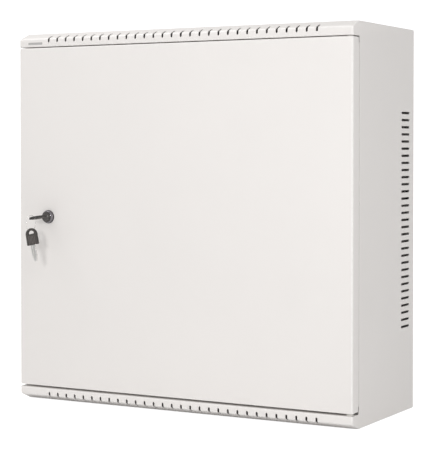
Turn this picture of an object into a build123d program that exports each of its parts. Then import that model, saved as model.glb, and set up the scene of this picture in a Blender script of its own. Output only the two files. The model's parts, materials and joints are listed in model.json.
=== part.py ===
from build123d import *
import math
import os

# A wall-hung 19 inch network cabinet of folded sheet steel.
# The frame: +X to the right as seen from the front, -Y towards the front, +Z up, millimetres.
# The origin is the centre of the rear outer face, the face that goes against the wall.

os.makedirs("parts", exist_ok=True)

# ---- overall size ----
WIDTH = 540.0
HEIGHT = 544.0
DEPTH = 213.5
SHEET = 1.2
BEND_RADIUS = 2.4

HALF_WIDTH = WIDTH / 2
HALF_HEIGHT = HEIGHT / 2
FRONT_Y = -DEPTH
INNER_HALF_WIDTH = HALF_WIDTH - SHEET

# ---- bands above and below the door ----
SLOPE_DEPTH = 21.0
SLOPE_RISE = 8.7
GAP_CENTRE_Z = 250.6
TOP_GAP = 1.2
BOTTOM_GAP = 2.8
TOP_BAND_EDGE_Z = GAP_CENTRE_Z + TOP_GAP / 2
BOTTOM_BAND_EDGE_Z = GAP_CENTRE_Z + BOTTOM_GAP / 2
RETURN_DEPTH = 20.0
BEND_Z = HALF_HEIGHT - SLOPE_RISE

# ---- slots in the bands ----
SLOT_COUNT = 30
SLOT_PITCH = 15.0
SLOT_WIDTH = 3.2
SLOT_ON_FACE = 5.0
SLOT_ON_SLOPE = 10.0

# ---- vent slots in the side walls ----
VENT_COUNT = 31
VENT_PITCH = 10.1
VENT_LENGTH = 30.5
VENT_HEIGHT = 3.4
VENT_FROM_FRONT = 182.9
VENT_MID_Z = 0.5

# ---- door ----
DOOR_DEPTH = 21.0
DOOR_TOP_Z = GAP_CENTRE_Z - TOP_GAP / 2
DOOR_BOTTOM_Z = -GAP_CENTRE_Z + BOTTOM_GAP / 2
DOOR_HEIGHT = DOOR_TOP_Z - DOOR_BOTTOM_Z
DOOR_MID_Z = (DOOR_TOP_Z + DOOR_BOTTOM_Z) / 2
DOOR_LIP = 11.0
DOOR_LIP_TRIM = 8.0
DOOR_NOTCH_WIDTH = 4.0
DOOR_NOTCH_DEPTH = 2.6
DOOR_CORNER_RADIUS = 2.6
DOOR_REAR_RADIUS = 1.2
DOOR_SIDE_GAP = 0.6
SIDE_FRONT_Y = FRONT_Y + DOOR_DEPTH + DOOR_SIDE_GAP
RIB_FOOT = 36.0
RIB_SHOULDER = 24.0
RIB_CROWN = 18.0
RIB_DEPTH = 13.0
RIB_SHEET = 1.0
RIB_LENGTH = 440.0

# ---- hinge ----
PIVOT_FROM_SIDE = 8.0
PIVOT_FROM_FRONT = 10.0
PIVOT_X = HALF_WIDTH - PIVOT_FROM_SIDE
PIVOT_Y = FRONT_Y + PIVOT_FROM_FRONT
HINGE_PIN_R = 3.0
RUNNING_CLEARANCE = 0.05
HINGE_HOLE_R = HINGE_PIN_R + RUNNING_CLEARANCE
TOP_PIN_REACH = 6.5
PIN_CHAMFER = 0.8
RIVET_HEAD_R = 5.0
RIVET_HEAD_HEIGHT = 1.5
BOTTOM_PIN_RISE = 14.0
BOTTOM_EAR_RISE = 9.0
BRACKET_THICK = 2.0
BRACKET_WIDTH = 11.0
BRACKET_OVERHANG = 7.0
BRACKET_END_GAP = 3.0
TOP_BRACKET_DROP = 46.0
COLLAR_R = 4.6
COLLAR_THICK = 2.0
COLLAR_PLAY = 0.3
SPRING_WIRE_R = 0.45
SPRING_R = 3.8
SPRING_TURNS = 10
SPRING_END_PLAY = 0.05
KNOB_R = 5.5
KNOB_HEIGHT = 7.0
KNOB_PLAY = 0.5
BUSH_R = 4.6
GAP_PLAY = 0.15
TOP_EAR_Z = DOOR_TOP_Z - TOP_BRACKET_DROP
BOTTOM_EAR_Z = DOOR_BOTTOM_Z + BOTTOM_EAR_RISE
COLLAR_Z = DOOR_TOP_Z - SHEET - COLLAR_PLAY - COLLAR_THICK
TOP_PIN_LOW_Z = TOP_EAR_Z - KNOB_PLAY - KNOB_HEIGHT

# ---- inner posts ----
POST_FROM_FRONT = 26.5
POST_LIP = 18.8
POST_WEB = 5.0
BUMPER_X = -262.0
BUMPER_Z = 180.0
BUMPER_R = 4.0
BUMPER_GAP = 0.3
BUMPER_THICK = POST_FROM_FRONT - DOOR_DEPTH - BUMPER_GAP

# ---- 19 inch rails ----
UNIT = 44.45
RAIL_UNITS = 11
RAIL_HOLE_X = 465.1 / 2
RAIL_HOLE = 9.5
RAIL_HOLE_STEPS = (6.35, 22.225, 38.1)
RAIL_SHEET = 1.6
RAIL_FROM_FRONT = 48.0
RAIL_INNER_X = 225.4
RAIL_OUTER_X = 243.0
RAIL_WEB = 28.0
RAIL_HALF_HEIGHT = RAIL_UNITS * UNIT / 2
RAIL_SCREW_HOLE = 6.6
RAIL_SCREW_FROM_FRONT = 66.0
RAIL_SCREW_LENGTH = 10.0

# ---- rail brackets, by distance behind the door's face ----
BRACKET_STATIONS = (40.0, 49.0, 59.0, 150.0, 160.0, 172.0)
BRACKET_BAR_HEIGHT = 24.0
BRACKET_BAR_Z = 205.0
BRACKET_SLOT_LENGTH = 86.0

# ---- fasteners ----
M6_R = 3.0
M6_CORE_R = 2.5
M6_HEAD_R = 5.8
M6_HEAD_HEIGHT = 3.4
M6_NUT_FLATS = 10.0
M6_NUT_HEIGHT = 5.0
CAGE_SIZE = 9.3
CAGE_WING = 12.4
CAGE_DEPTH = 5.5
STUD_LENGTH = 16.0
WASHER_R = 6.0
WASHER_THICK = 1.6
CASING_EARTH_X = 245.0
CASING_EARTH_Y = -40.0
DOOR_EARTH_X = 225.0
DOOR_EARTH_Z = -205.0
CUT_THROUGH = 4.0
CUT_OVER = 1.0

# ---- cable entries and wall holes ----
ENTRY_WIDTH = 260.0
ENTRY_DEPTH = 62.0
ENTRY_CORNER = 3.0
ENTRY_FROM_REAR = 58.0
COVER_MARGIN = 12.0
COVER_SHEET = 1.0
COVER_SHANK_R = 1.7
COVER_HEAD_R = 3.2
COVER_HEAD_HEIGHT = 2.0
COVER_SCREW_X = ENTRY_WIDTH + COVER_MARGIN
COVER_SCREW_INSET = 5.0
COVER_SCREW_Y = ENTRY_DEPTH - 2 * COVER_SCREW_INSET
WALL_HOLE_R = 4.5
WALL_HOLE_X = 400.0
WALL_HOLE_Z = 400.0

# ---- lock ----
LOCK_X = -218.0
LOCK_Z = 1.25
LOCK_HEAD_R = 9.8
LOCK_FACE_R = 8.4
LOCK_HEAD_PROUD = 5.6
LOCK_FLANGE = 2.0
LOCK_EDGE_RADIUS = 0.8
LOCK_BODY_R = 9.0
LOCK_BODY_LENGTH = 26.0
LOCK_HOLE_PLAY = 0.1
LOCK_WASHER_R = 12.5
LOCK_WASHER_THICK = 0.8
NUT_FLATS = 23.0
NUT_THICK = 5.0
PLUG_R = 5.6
PLUG_RECESS = 0.4
PLUG_END = 29.6
CAM_WIDTH = 16.0
CAM_REACH = 37.0
CAM_THICK = 2.0
CAM_CORNER = 3.0
CAM_SCREW_R = 2.5
CAM_SCREW_GRIP = 9.0
CAM_SCREW_END_PLAY = 1.0
CAM_SCREW_HEAD_R = 4.6
CAM_SCREW_HEAD_HEIGHT = 3.0

# ---- keys ----
KEY_BLADE_WIDTH = 8.0
KEY_BLADE_THICK = 2.0
KEY_BLADE_LENGTH = 24.0
KEY_TIP_WIDTH = 4.0
KEY_TAPER_START = -15.0
KEY_CUTS = 3
KEY_FIRST_CUT = -5.0
KEY_CUT_PITCH = 3.6
KEY_CUT_DEPTH = 1.8
KEYWAY_PLAY = 0.2
KEYWAY_DEPTH = 22.0
KEY_BOW_WIDTH = 20.0
KEY_BOW_LENGTH = 24.4
KEY_BOW_THICK = 3.2
KEY_ARCH_TAPER = 0.3
KEY_SHOULDER = 16.5
KEY_RIM = 3.3
KEY_HOLE_LENGTH = 5.0
KEY_HOLE_WIDTH = 10.0
KEY_HOLE_ARCH = 2.8
KEY_OUT = 11.4
KEY_TURN = 12.0
KEY_BASE_Y = FRONT_Y - LOCK_HEAD_PROUD - KEY_OUT
RING_R = 11.4
RING_WIRE_R = 0.45
RING_PLAY = 0.3
RING_INSET = -2.5
RING_DROP = 7.5
RING_Y = KEY_BASE_Y - KEY_BOW_LENGTH + RING_INSET
RING_Z = LOCK_Z - RING_DROP
SPARE_TILT = 11.5


def write(builder, name):
    """Label a finished piece and write it under its own name."""
    builder.part.label = name
    export_step(builder.part, f"parts/{name}.step")


def y_from_front(distance):
    """The Y of a place that lies a given distance behind the door's face."""
    return FRONT_Y + distance


def folded_section(points, thickness, side):
    """The closed outline of a folded sheet's section; its outer line runs through the points."""
    with BuildLine() as outline:
        FilletPolyline(*points, radius=BEND_RADIUS)
        offset(amount=thickness, side=side, closed=True)
    return outline.edges()


def inward(sign):
    """The side of a line drawn rearwards that faces the middle of the cabinet."""
    return Side.LEFT if sign > 0 else Side.RIGHT


# ------------------------------------------------------------------ casing

def band_panel(name, sign, edge_z):
    """Top or bottom sheet with its sloping slotted band; sign is +1 for the top, -1 for the bottom."""
    tilt = math.atan2(SLOPE_RISE, SLOPE_DEPTH)
    run = SLOT_ON_SLOPE / 2 - CUT_OVER
    face_plane = Plane(
        origin=(0, FRONT_Y - CUT_OVER, sign * (BEND_Z + CUT_OVER - SLOT_ON_FACE / 2)),
        x_dir=(1, 0, 0),
        z_dir=(0, 1, 0),
    )
    slope_plane = Plane(
        origin=(0, FRONT_Y + run * math.cos(tilt), sign * (BEND_Z + run * math.sin(tilt))),
        x_dir=(1, 0, 0),
        z_dir=(0, -math.sin(tilt), sign * math.cos(tilt)),
    )
    outer_line = [
        (0, sign * HALF_HEIGHT),
        (FRONT_Y + SLOPE_DEPTH, sign * HALF_HEIGHT),
        (FRONT_Y, sign * BEND_Z),
        (FRONT_Y, sign * edge_z),
        (FRONT_Y + RETURN_DEPTH, sign * edge_z),
    ]
    section = folded_section(outer_line, SHEET, inward(sign))
    with BuildPart() as panel:
        with BuildSketch(Plane.YZ.offset(-INNER_HALF_WIDTH)):
            make_face(section)
        extrude(amount=2 * INNER_HALF_WIDTH)
        with BuildSketch(face_plane):
            with GridLocations(SLOT_PITCH, 1, SLOT_COUNT, 1):
                SlotOverall(SLOT_ON_FACE + 2 * CUT_OVER, SLOT_WIDTH, rotation=90)
        extrude(amount=CUT_THROUGH, mode=Mode.SUBTRACT)
        with BuildSketch(slope_plane.offset(CUT_OVER)):
            with GridLocations(SLOT_PITCH, 1, SLOT_COUNT, 1):
                SlotOverall(SLOT_ON_SLOPE + 2 * CUT_OVER, SLOT_WIDTH, rotation=90)
        extrude(amount=-CUT_THROUGH, mode=Mode.SUBTRACT)
        with BuildSketch(Plane.XY.offset(sign * HALF_HEIGHT)):
            with Locations((0, -ENTRY_FROM_REAR)):
                RectangleRounded(ENTRY_WIDTH, ENTRY_DEPTH, ENTRY_CORNER)
                with GridLocations(COVER_SCREW_X, COVER_SCREW_Y, 2, 2):
                    Circle(COVER_SHANK_R + RUNNING_CLEARANCE)
        extrude(amount=-sign * CUT_THROUGH, mode=Mode.SUBTRACT)
        with BuildSketch(Plane.XY.offset(sign * (edge_z - CUT_OVER))):
            with Locations((PIVOT_X, PIVOT_Y)):
                Circle(HINGE_HOLE_R)
        extrude(amount=sign * CUT_THROUGH, mode=Mode.SUBTRACT)
    write(panel, name)


def side_panel(name, sign):
    """Side wall, notched for the door and pierced by the vent slots near its rear edge."""
    outer_x = sign * HALF_WIDTH
    with BuildPart() as panel:
        with BuildSketch(Plane.YZ.offset(outer_x)):
            with BuildLine():
                Polyline(
                    (0, HALF_HEIGHT),
                    (FRONT_Y + SLOPE_DEPTH, HALF_HEIGHT),
                    (FRONT_Y, BEND_Z),
                    (FRONT_Y, TOP_BAND_EDGE_Z),
                    (SIDE_FRONT_Y, TOP_BAND_EDGE_Z),
                    (SIDE_FRONT_Y, -BOTTOM_BAND_EDGE_Z),
                    (FRONT_Y, -BOTTOM_BAND_EDGE_Z),
                    (FRONT_Y, -BEND_Z),
                    (FRONT_Y + SLOPE_DEPTH, -HALF_HEIGHT),
                    (0, -HALF_HEIGHT),
                    close=True,
                )
            make_face()
            with Locations((y_from_front(VENT_FROM_FRONT), VENT_MID_Z)):
                with GridLocations(1, VENT_PITCH, 1, VENT_COUNT):
                    SlotOverall(VENT_LENGTH, VENT_HEIGHT, mode=Mode.SUBTRACT)
        extrude(amount=-sign * SHEET)
    write(panel, name)


def back_panel():
    """Flat rear wall with the four holes for the wall screws."""
    half_h = HALF_HEIGHT - SHEET
    with BuildPart() as panel:
        with BuildSketch(Plane.XZ):
            Rectangle(2 * INNER_HALF_WIDTH, 2 * half_h)
            with GridLocations(WALL_HOLE_X, WALL_HOLE_Z, 2, 2):
                Circle(WALL_HOLE_R, mode=Mode.SUBTRACT)
        extrude(amount=SHEET)
    write(panel, "back_panel")


def side_post(name, sign):
    """Folded post inside the side wall; its lip stops the door and holds the lock cam."""
    front = y_from_front(POST_FROM_FRONT)
    wall = sign * INNER_HALF_WIDTH
    foot_z = -(BOTTOM_BAND_EDGE_Z + SHEET)
    head_z = TOP_BAND_EDGE_Z + SHEET
    outer_line = [(wall - sign * POST_LIP, front), (wall, front), (wall, front + POST_WEB)]
    section = folded_section(outer_line, SHEET, inward(sign))
    with BuildPart() as post:
        with BuildSketch(Plane.XY.offset(foot_z)):
            make_face(section)
        extrude(amount=head_z - foot_z)
    write(post, name)


def door_bumpers():
    """Rubber pads on the left post that the closed door rests against."""
    with BuildPart() as bumpers:
        with BuildSketch(Plane.XZ.offset(-y_from_front(POST_FROM_FRONT))):
            with Locations((BUMPER_X, BUMPER_Z), (BUMPER_X, -BUMPER_Z)):
                Circle(BUMPER_R)
        extrude(amount=BUMPER_THICK)
    write(bumpers, "door_bumpers")


def cable_cover(name, sign):
    """Blanking plate screwed over a cable entry from inside."""
    inner_z = sign * (HALF_HEIGHT - SHEET)
    with BuildPart() as cover:
        with BuildSketch(Plane.XY.offset(inner_z)):
            with Locations((0, -ENTRY_FROM_REAR)):
                RectangleRounded(ENTRY_WIDTH + 2 * COVER_MARGIN, ENTRY_DEPTH + 2 * COVER_MARGIN, ENTRY_CORNER)
                with GridLocations(COVER_SCREW_X, COVER_SCREW_Y, 2, 2):
                    Circle(COVER_SHANK_R + RUNNING_CLEARANCE, mode=Mode.SUBTRACT)
        extrude(amount=-sign * COVER_SHEET)
    write(cover, name)


def cover_screws():
    """Pan-head screws of both cable covers, driven from inside, ends flush with the outer face."""
    shank_length = SHEET + COVER_SHEET
    with BuildPart() as screws:
        for sign in (1, -1):
            seat_z = sign * (HALF_HEIGHT - shank_length)
            with BuildSketch(Plane.XY.offset(seat_z)):
                with Locations((0, -ENTRY_FROM_REAR)):
                    with GridLocations(COVER_SCREW_X, COVER_SCREW_Y, 2, 2):
                        Circle(COVER_HEAD_R)
            extrude(amount=-sign * COVER_HEAD_HEIGHT)
            with BuildSketch(Plane.XY.offset(seat_z)):
                with Locations((0, -ENTRY_FROM_REAR)):
                    with GridLocations(COVER_SCREW_X, COVER_SCREW_Y, 2, 2):
                        Circle(COVER_SHANK_R)
            extrude(amount=sign * shank_length)
    write(screws, "cover_screws")


# ------------------------------------------------------------------ rails

def rack_rail(name, sign):
    """Angle rail with the square 19 inch hole pattern, three holes to each height unit."""
    front = y_from_front(RAIL_FROM_FRONT)
    hole_centres = [
        (sign * RAIL_HOLE_X, -RAIL_HALF_HEIGHT + unit * UNIT + step)
        for unit in range(RAIL_UNITS)
        for step in RAIL_HOLE_STEPS
    ]
    screw_y = y_from_front(RAIL_SCREW_FROM_FRONT)
    outer_line = [
        (sign * RAIL_INNER_X, front),
        (sign * RAIL_OUTER_X, front),
        (sign * RAIL_OUTER_X, front + RAIL_WEB),
    ]
    section = folded_section(outer_line, RAIL_SHEET, inward(sign))
    with BuildPart() as rail:
        with BuildSketch(Plane.XY.offset(-RAIL_HALF_HEIGHT)):
            make_face(section)
        extrude(amount=2 * RAIL_HALF_HEIGHT)
        with BuildSketch(Plane.XZ.offset(CUT_OVER - front)):
            with Locations(*hole_centres):
                Rectangle(RAIL_HOLE, RAIL_HOLE)
        extrude(amount=-CUT_THROUGH, mode=Mode.SUBTRACT)
        with BuildSketch(Plane.YZ.offset(sign * (RAIL_OUTER_X + CUT_OVER))):
            with Locations((screw_y, BRACKET_BAR_Z), (screw_y, -BRACKET_BAR_Z)):
                Rectangle(RAIL_SCREW_HOLE, RAIL_SCREW_HOLE)
        extrude(amount=-sign * CUT_THROUGH, mode=Mode.SUBTRACT)
    write(rail, name)


def rail_bracket(name, sign, mid_z):
    """Slotted bar between the side wall and a rail; the slot lets the loosened rail move back."""
    foot_x = sign * INNER_HALF_WIDTH
    bar_x = sign * (RAIL_OUTER_X + SHEET)
    stations = [y_from_front(distance) for distance in BRACKET_STATIONS]
    slot_y = (stations[2] + stations[3]) / 2
    outer_line = [
        (foot_x, stations[0]),
        (foot_x, stations[1]),
        (bar_x, stations[2]),
        (bar_x, stations[3]),
        (foot_x, stations[4]),
        (foot_x, stations[5]),
    ]
    section = folded_section(outer_line, SHEET, inward(sign))
    with BuildPart() as bracket:
        with BuildSketch(Plane.XY.offset(mid_z - BRACKET_BAR_HEIGHT / 2)):
            make_face(section)
        extrude(amount=BRACKET_BAR_HEIGHT)
        with BuildSketch(Plane.YZ.offset(bar_x + sign)):
            with Locations((slot_y, mid_z)):
                SlotOverall(BRACKET_SLOT_LENGTH, RAIL_SCREW_HOLE)
        extrude(amount=-sign * CUT_THROUGH, mode=Mode.SUBTRACT)
    write(bracket, name)


def rail_screws():
    """Screws that hold the rails to their brackets, heads inside the rails."""
    spots = [(y_from_front(RAIL_SCREW_FROM_FRONT), z) for z in (BRACKET_BAR_Z, -BRACKET_BAR_Z)]
    with BuildPart() as screws:
        for sign in (-1, 1):
            seat = sign * (RAIL_OUTER_X - RAIL_SHEET)
            with BuildSketch(Plane.YZ.offset(seat)):
                with Locations(*spots):
                    Circle(M6_HEAD_R)
            extrude(amount=-sign * M6_HEAD_HEIGHT)
            with BuildSketch(Plane.YZ.offset(seat)):
                with Locations(*spots):
                    Circle(M6_R)
            extrude(amount=sign * RAIL_SCREW_LENGTH)
    write(screws, "rail_screws")


def rail_nuts():
    """Hexagon nuts on the outer side of the rail brackets."""
    spots = [(y_from_front(RAIL_SCREW_FROM_FRONT), z) for z in (BRACKET_BAR_Z, -BRACKET_BAR_Z)]
    with BuildPart() as nuts:
        for sign in (-1, 1):
            with BuildSketch(Plane.YZ.offset(sign * (RAIL_OUTER_X + SHEET))):
                with Locations(*spots):
                    RegularPolygon(M6_NUT_FLATS / 2, 6, major_radius=False)
                    Circle(M6_R + RUNNING_CLEARANCE, mode=Mode.SUBTRACT)
            extrude(amount=sign * M6_NUT_HEIGHT)
    write(nuts, "rail_nuts")


def cage_nuts():
    """Caged M6 nuts clipped into the four corner holes of the rails."""
    corner_z = RAIL_HALF_HEIGHT - RAIL_HOLE_STEPS[0]
    front = y_from_front(RAIL_FROM_FRONT)
    with BuildPart() as nuts:
        with BuildSketch(Plane.XZ.offset(-front)):
            with GridLocations(2 * RAIL_HOLE_X, 2 * corner_z, 2, 2):
                Rectangle(CAGE_SIZE, CAGE_SIZE)
        extrude(amount=-RAIL_SHEET)
        with BuildSketch(Plane.XZ.offset(-front - RAIL_SHEET)):
            with GridLocations(2 * RAIL_HOLE_X, 2 * corner_z, 2, 2):
                Rectangle(CAGE_WING, CAGE_WING)
        extrude(amount=-CAGE_DEPTH)
        with BuildSketch(Plane.XZ.offset(-front)):
            with GridLocations(2 * RAIL_HOLE_X, 2 * corner_z, 2, 2):
                Circle(M6_CORE_R)
        extrude(amount=-(RAIL_SHEET + CAGE_DEPTH), mode=Mode.SUBTRACT)
    write(nuts, "cage_nuts")


# ------------------------------------------------------------------ earth points

def earth_stud(name, plane):
    """Threaded stud welded upright on a panel."""
    with BuildPart() as stud:
        with BuildSketch(plane):
            Circle(M6_R)
        extrude(amount=STUD_LENGTH)
    write(stud, name)


def earth_nut(name, plane):
    """Flat washer with a hexagon nut on an earth stud, as one clamped piece."""
    with BuildPart() as nut:
        with BuildSketch(plane):
            Circle(WASHER_R)
        extrude(amount=WASHER_THICK)
        with BuildSketch(plane.offset(WASHER_THICK)):
            RegularPolygon(M6_NUT_FLATS / 2, 6, major_radius=False)
        extrude(amount=M6_NUT_HEIGHT)
        with BuildSketch(plane):
            Circle(M6_R + RUNNING_CLEARANCE)
        extrude(amount=WASHER_THICK + M6_NUT_HEIGHT, mode=Mode.SUBTRACT)
    write(nut, name)


# ------------------------------------------------------------------ door

def door_pan():
    """Full-width door: one sheet with four folded edges and inner lips along both sides."""
    with BuildPart() as pan:
        with BuildSketch(Plane.XZ.offset(-FRONT_Y)):
            with Locations((0, DOOR_MID_Z)):
                Rectangle(WIDTH, DOOR_HEIGHT)
        extrude(amount=-DOOR_DEPTH)
        fillet(pan.edges().filter_by(Axis.Y), DOOR_CORNER_RADIUS)
        fillet(pan.faces().sort_by(Axis.Y)[0].edges(), BEND_RADIUS)
        offset(amount=-SHEET, openings=pan.faces().sort_by(Axis.Y)[-1])
        with BuildSketch(Plane.XZ.offset(-y_from_front(DOOR_DEPTH))):
            for sign in (-1, 1):
                with Locations((sign * (INNER_HALF_WIDTH - DOOR_LIP / 2), DOOR_MID_Z)):
                    Rectangle(DOOR_LIP, DOOR_HEIGHT - 2 * DOOR_LIP_TRIM)
        extrude(amount=SHEET)
        with BuildSketch(Plane.XZ.offset(-y_from_front(DOOR_DEPTH))):
            with Locations((0, DOOR_MID_Z)):
                with GridLocations(WIDTH - DOOR_NOTCH_WIDTH, DOOR_HEIGHT - DOOR_LIP_TRIM, 2, 2):
                    Rectangle(DOOR_NOTCH_WIDTH, DOOR_LIP_TRIM)
        extrude(amount=DOOR_NOTCH_DEPTH, mode=Mode.SUBTRACT)
        rear_edges = pan.edges().filter_by(Axis.Z).group_by(Axis.Y)[-1].sort_by(Axis.X)
        fillet([rear_edges[0], rear_edges[-1]], DOOR_REAR_RADIUS)
        with BuildSketch(Plane.XZ.offset(CUT_OVER - FRONT_Y)):
            with Locations((LOCK_X, LOCK_Z)):
                Circle(LOCK_BODY_R + LOCK_HOLE_PLAY)
        extrude(amount=-CUT_THROUGH, mode=Mode.SUBTRACT)
        with BuildSketch(Plane.XY.offset(DOOR_TOP_Z + CUT_OVER)):
            with Locations((PIVOT_X, PIVOT_Y)):
                Circle(HINGE_HOLE_R)
        extrude(amount=-CUT_THROUGH, mode=Mode.SUBTRACT)
        with BuildSketch(Plane.XY.offset(DOOR_BOTTOM_Z - CUT_OVER)):
            with Locations((PIVOT_X, PIVOT_Y)):
                Circle(HINGE_HOLE_R)
        extrude(amount=CUT_THROUGH, mode=Mode.SUBTRACT)
    write(pan, "door_pan")


def door_stiffener():
    """Hat-section rib welded down the middle of the door's inner face."""
    base = y_from_front(SHEET)
    crown = base + RIB_DEPTH
    outer_line = [
        (-RIB_FOOT, base),
        (-RIB_SHOULDER, base),
        (-RIB_CROWN, crown),
        (RIB_CROWN, crown),
        (RIB_SHOULDER, base),
        (RIB_FOOT, base),
    ]
    section = folded_section(outer_line, RIB_SHEET, Side.LEFT)
    with BuildPart() as rib:
        with BuildSketch(Plane.XY.offset(DOOR_MID_Z - RIB_LENGTH / 2)):
            make_face(section)
        extrude(amount=RIB_LENGTH)
    write(rib, "door_stiffener")


def hinge_bracket(name, ear_z, plate_low, plate_high):
    """Angle welded inside the door; its level ear guides a hinge pin."""
    plate_y = y_from_front(SHEET)
    ear_depth = PIVOT_FROM_FRONT - SHEET + BRACKET_OVERHANG
    with BuildPart() as bracket:
        with BuildSketch(Plane.XZ.offset(-plate_y)):
            with Locations((PIVOT_X, (plate_low + plate_high) / 2)):
                Rectangle(BRACKET_WIDTH, plate_high - plate_low)
        extrude(amount=-BRACKET_THICK)
        with BuildSketch(Plane.XY.offset(ear_z)):
            with Locations((PIVOT_X, plate_y + ear_depth / 2)):
                Rectangle(BRACKET_WIDTH, ear_depth)
        extrude(amount=BRACKET_THICK)
        with BuildSketch(Plane.XY.offset(ear_z)):
            with Locations((PIVOT_X, PIVOT_Y)):
                Circle(HINGE_HOLE_R)
        extrude(amount=BRACKET_THICK, mode=Mode.SUBTRACT)
    write(bracket, name)


def pivot_disc(name, base_z, height, inner_r, outer_r):
    """Flat ring round the hinge axis."""
    with BuildPart() as disc:
        with BuildSketch(Plane.XY.offset(base_z)):
            with Locations((PIVOT_X, PIVOT_Y)):
                Circle(outer_r)
                Circle(inner_r, mode=Mode.SUBTRACT)
        extrude(amount=height)
    write(disc, name)


def hinge_pin_bottom():
    """Fixed pin riveted in the lower band's return; the door stands on its bush."""
    flange_low = -BOTTOM_BAND_EDGE_Z - SHEET
    top_z = DOOR_BOTTOM_Z + BOTTOM_PIN_RISE
    with BuildPart() as pin:
        with BuildSketch(Plane.XY.offset(flange_low)):
            with Locations((PIVOT_X, PIVOT_Y)):
                Circle(HINGE_PIN_R)
        extrude(amount=top_z - flange_low)
        chamfer(pin.faces().sort_by(Axis.Z)[-1].edges(), PIN_CHAMFER)
        with BuildSketch(Plane.XY.offset(flange_low)):
            with Locations((PIVOT_X, PIVOT_Y)):
                Circle(RIVET_HEAD_R)
        extrude(amount=-RIVET_HEAD_HEIGHT)
    write(pin, "hinge_pin_bottom")


def hinge_pin_top():
    """Spring-loaded pin with the collar that its spring pushes up."""
    with BuildPart() as pin:
        with BuildSketch(Plane.XY.offset(TOP_PIN_LOW_Z)):
            with Locations((PIVOT_X, PIVOT_Y)):
                Circle(HINGE_PIN_R)
        extrude(amount=TOP_BAND_EDGE_Z + TOP_PIN_REACH - TOP_PIN_LOW_Z)
        chamfer(pin.faces().sort_by(Axis.Z)[-1].edges(), PIN_CHAMFER)
        with BuildSketch(Plane.XY.offset(COLLAR_Z)):
            with Locations((PIVOT_X, PIVOT_Y)):
                Circle(COLLAR_R)
        extrude(amount=COLLAR_THICK)
    write(pin, "hinge_pin_top")


def hinge_spring():
    """Compression spring between the bracket's ear and the pin's collar."""
    low = TOP_EAR_Z + BRACKET_THICK + SPRING_WIRE_R + SPRING_END_PLAY
    high = COLLAR_Z - SPRING_WIRE_R - SPRING_END_PLAY
    pitch = (high - low) / SPRING_TURNS
    with BuildPart() as spring:
        with BuildLine(Plane(origin=(PIVOT_X, PIVOT_Y, low))) as coil:
            Helix(pitch=pitch, height=high - low, radius=SPRING_R)
        with BuildSketch(Plane(origin=coil.line @ 0, z_dir=coil.line % 0)):
            Circle(SPRING_WIRE_R)
        sweep(path=coil.line, is_frenet=True)
    write(spring, "hinge_spring")


# ------------------------------------------------------------------ lock

def lock_barrel():
    """Lock housing: proud tapered head in front of the door, round body behind it."""
    bore_r = PLUG_R + RUNNING_CLEARANCE
    with BuildPart() as barrel:
        with BuildSketch(Plane(origin=(LOCK_X, 0, LOCK_Z), x_dir=(1, 0, 0), z_dir=(0, 0, 1))):
            with BuildLine():
                Polyline(
                    (bore_r, y_from_front(LOCK_BODY_LENGTH)),
                    (LOCK_BODY_R, y_from_front(LOCK_BODY_LENGTH)),
                    (LOCK_BODY_R, FRONT_Y),
                    (LOCK_HEAD_R, FRONT_Y),
                    (LOCK_HEAD_R, FRONT_Y - LOCK_FLANGE),
                    (LOCK_FACE_R, FRONT_Y - LOCK_HEAD_PROUD),
                    (bore_r, FRONT_Y - LOCK_HEAD_PROUD),
                    close=True,
                )
            make_face()
        revolve(axis=Axis((LOCK_X, 0, LOCK_Z), (0, 1, 0)))
        fillet(barrel.faces().sort_by(Axis.Y)[0].outer_wire().edges(), LOCK_EDGE_RADIUS)
    write(barrel, "lock_barrel")


def lock_plug():
    """Turning core of the lock with its keyway and the tapped hole for the cam screw."""
    face_y = FRONT_Y - LOCK_HEAD_PROUD + PLUG_RECESS
    end_y = y_from_front(PLUG_END)
    with BuildPart() as plug:
        with BuildSketch(Plane.XZ.offset(-face_y)):
            with Locations((LOCK_X, LOCK_Z)):
                Circle(PLUG_R)
        extrude(amount=-(end_y - face_y))
        with BuildSketch(Plane.XZ.offset(-face_y)):
            with Locations((LOCK_X, LOCK_Z)):
                Rectangle(
                    KEY_BLADE_WIDTH + 2 * KEYWAY_PLAY,
                    KEY_BLADE_THICK + 2 * KEYWAY_PLAY,
                    rotation=KEY_TURN,
                )
        extrude(amount=-KEYWAY_DEPTH, mode=Mode.SUBTRACT)
        with BuildSketch(Plane.XZ.offset(-end_y)):
            with Locations((LOCK_X, LOCK_Z)):
                Circle(CAM_SCREW_R)
        extrude(amount=CAM_SCREW_GRIP, mode=Mode.SUBTRACT)
    write(plug, "lock_plug")


def lock_washer_and_nut():
    """Washer and hexagon nut that clamp the lock in the door."""
    washer_y = y_from_front(SHEET)
    nut_y = washer_y + LOCK_WASHER_THICK
    with BuildPart() as washer:
        with BuildSketch(Plane.XZ.offset(-washer_y)):
            with Locations((LOCK_X, LOCK_Z)):
                Circle(LOCK_WASHER_R)
                Circle(LOCK_BODY_R + LOCK_HOLE_PLAY, mode=Mode.SUBTRACT)
        extrude(amount=-LOCK_WASHER_THICK)
    write(washer, "lock_washer")
    with BuildPart() as nut:
        with BuildSketch(Plane.XZ.offset(-nut_y)):
            with Locations((LOCK_X, LOCK_Z)):
                RegularPolygon(NUT_FLATS / 2, 6, major_radius=False)
                Circle(LOCK_BODY_R + RUNNING_CLEARANCE, mode=Mode.SUBTRACT)
        extrude(amount=-NUT_THICK)
    write(nut, "lock_nut")


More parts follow.
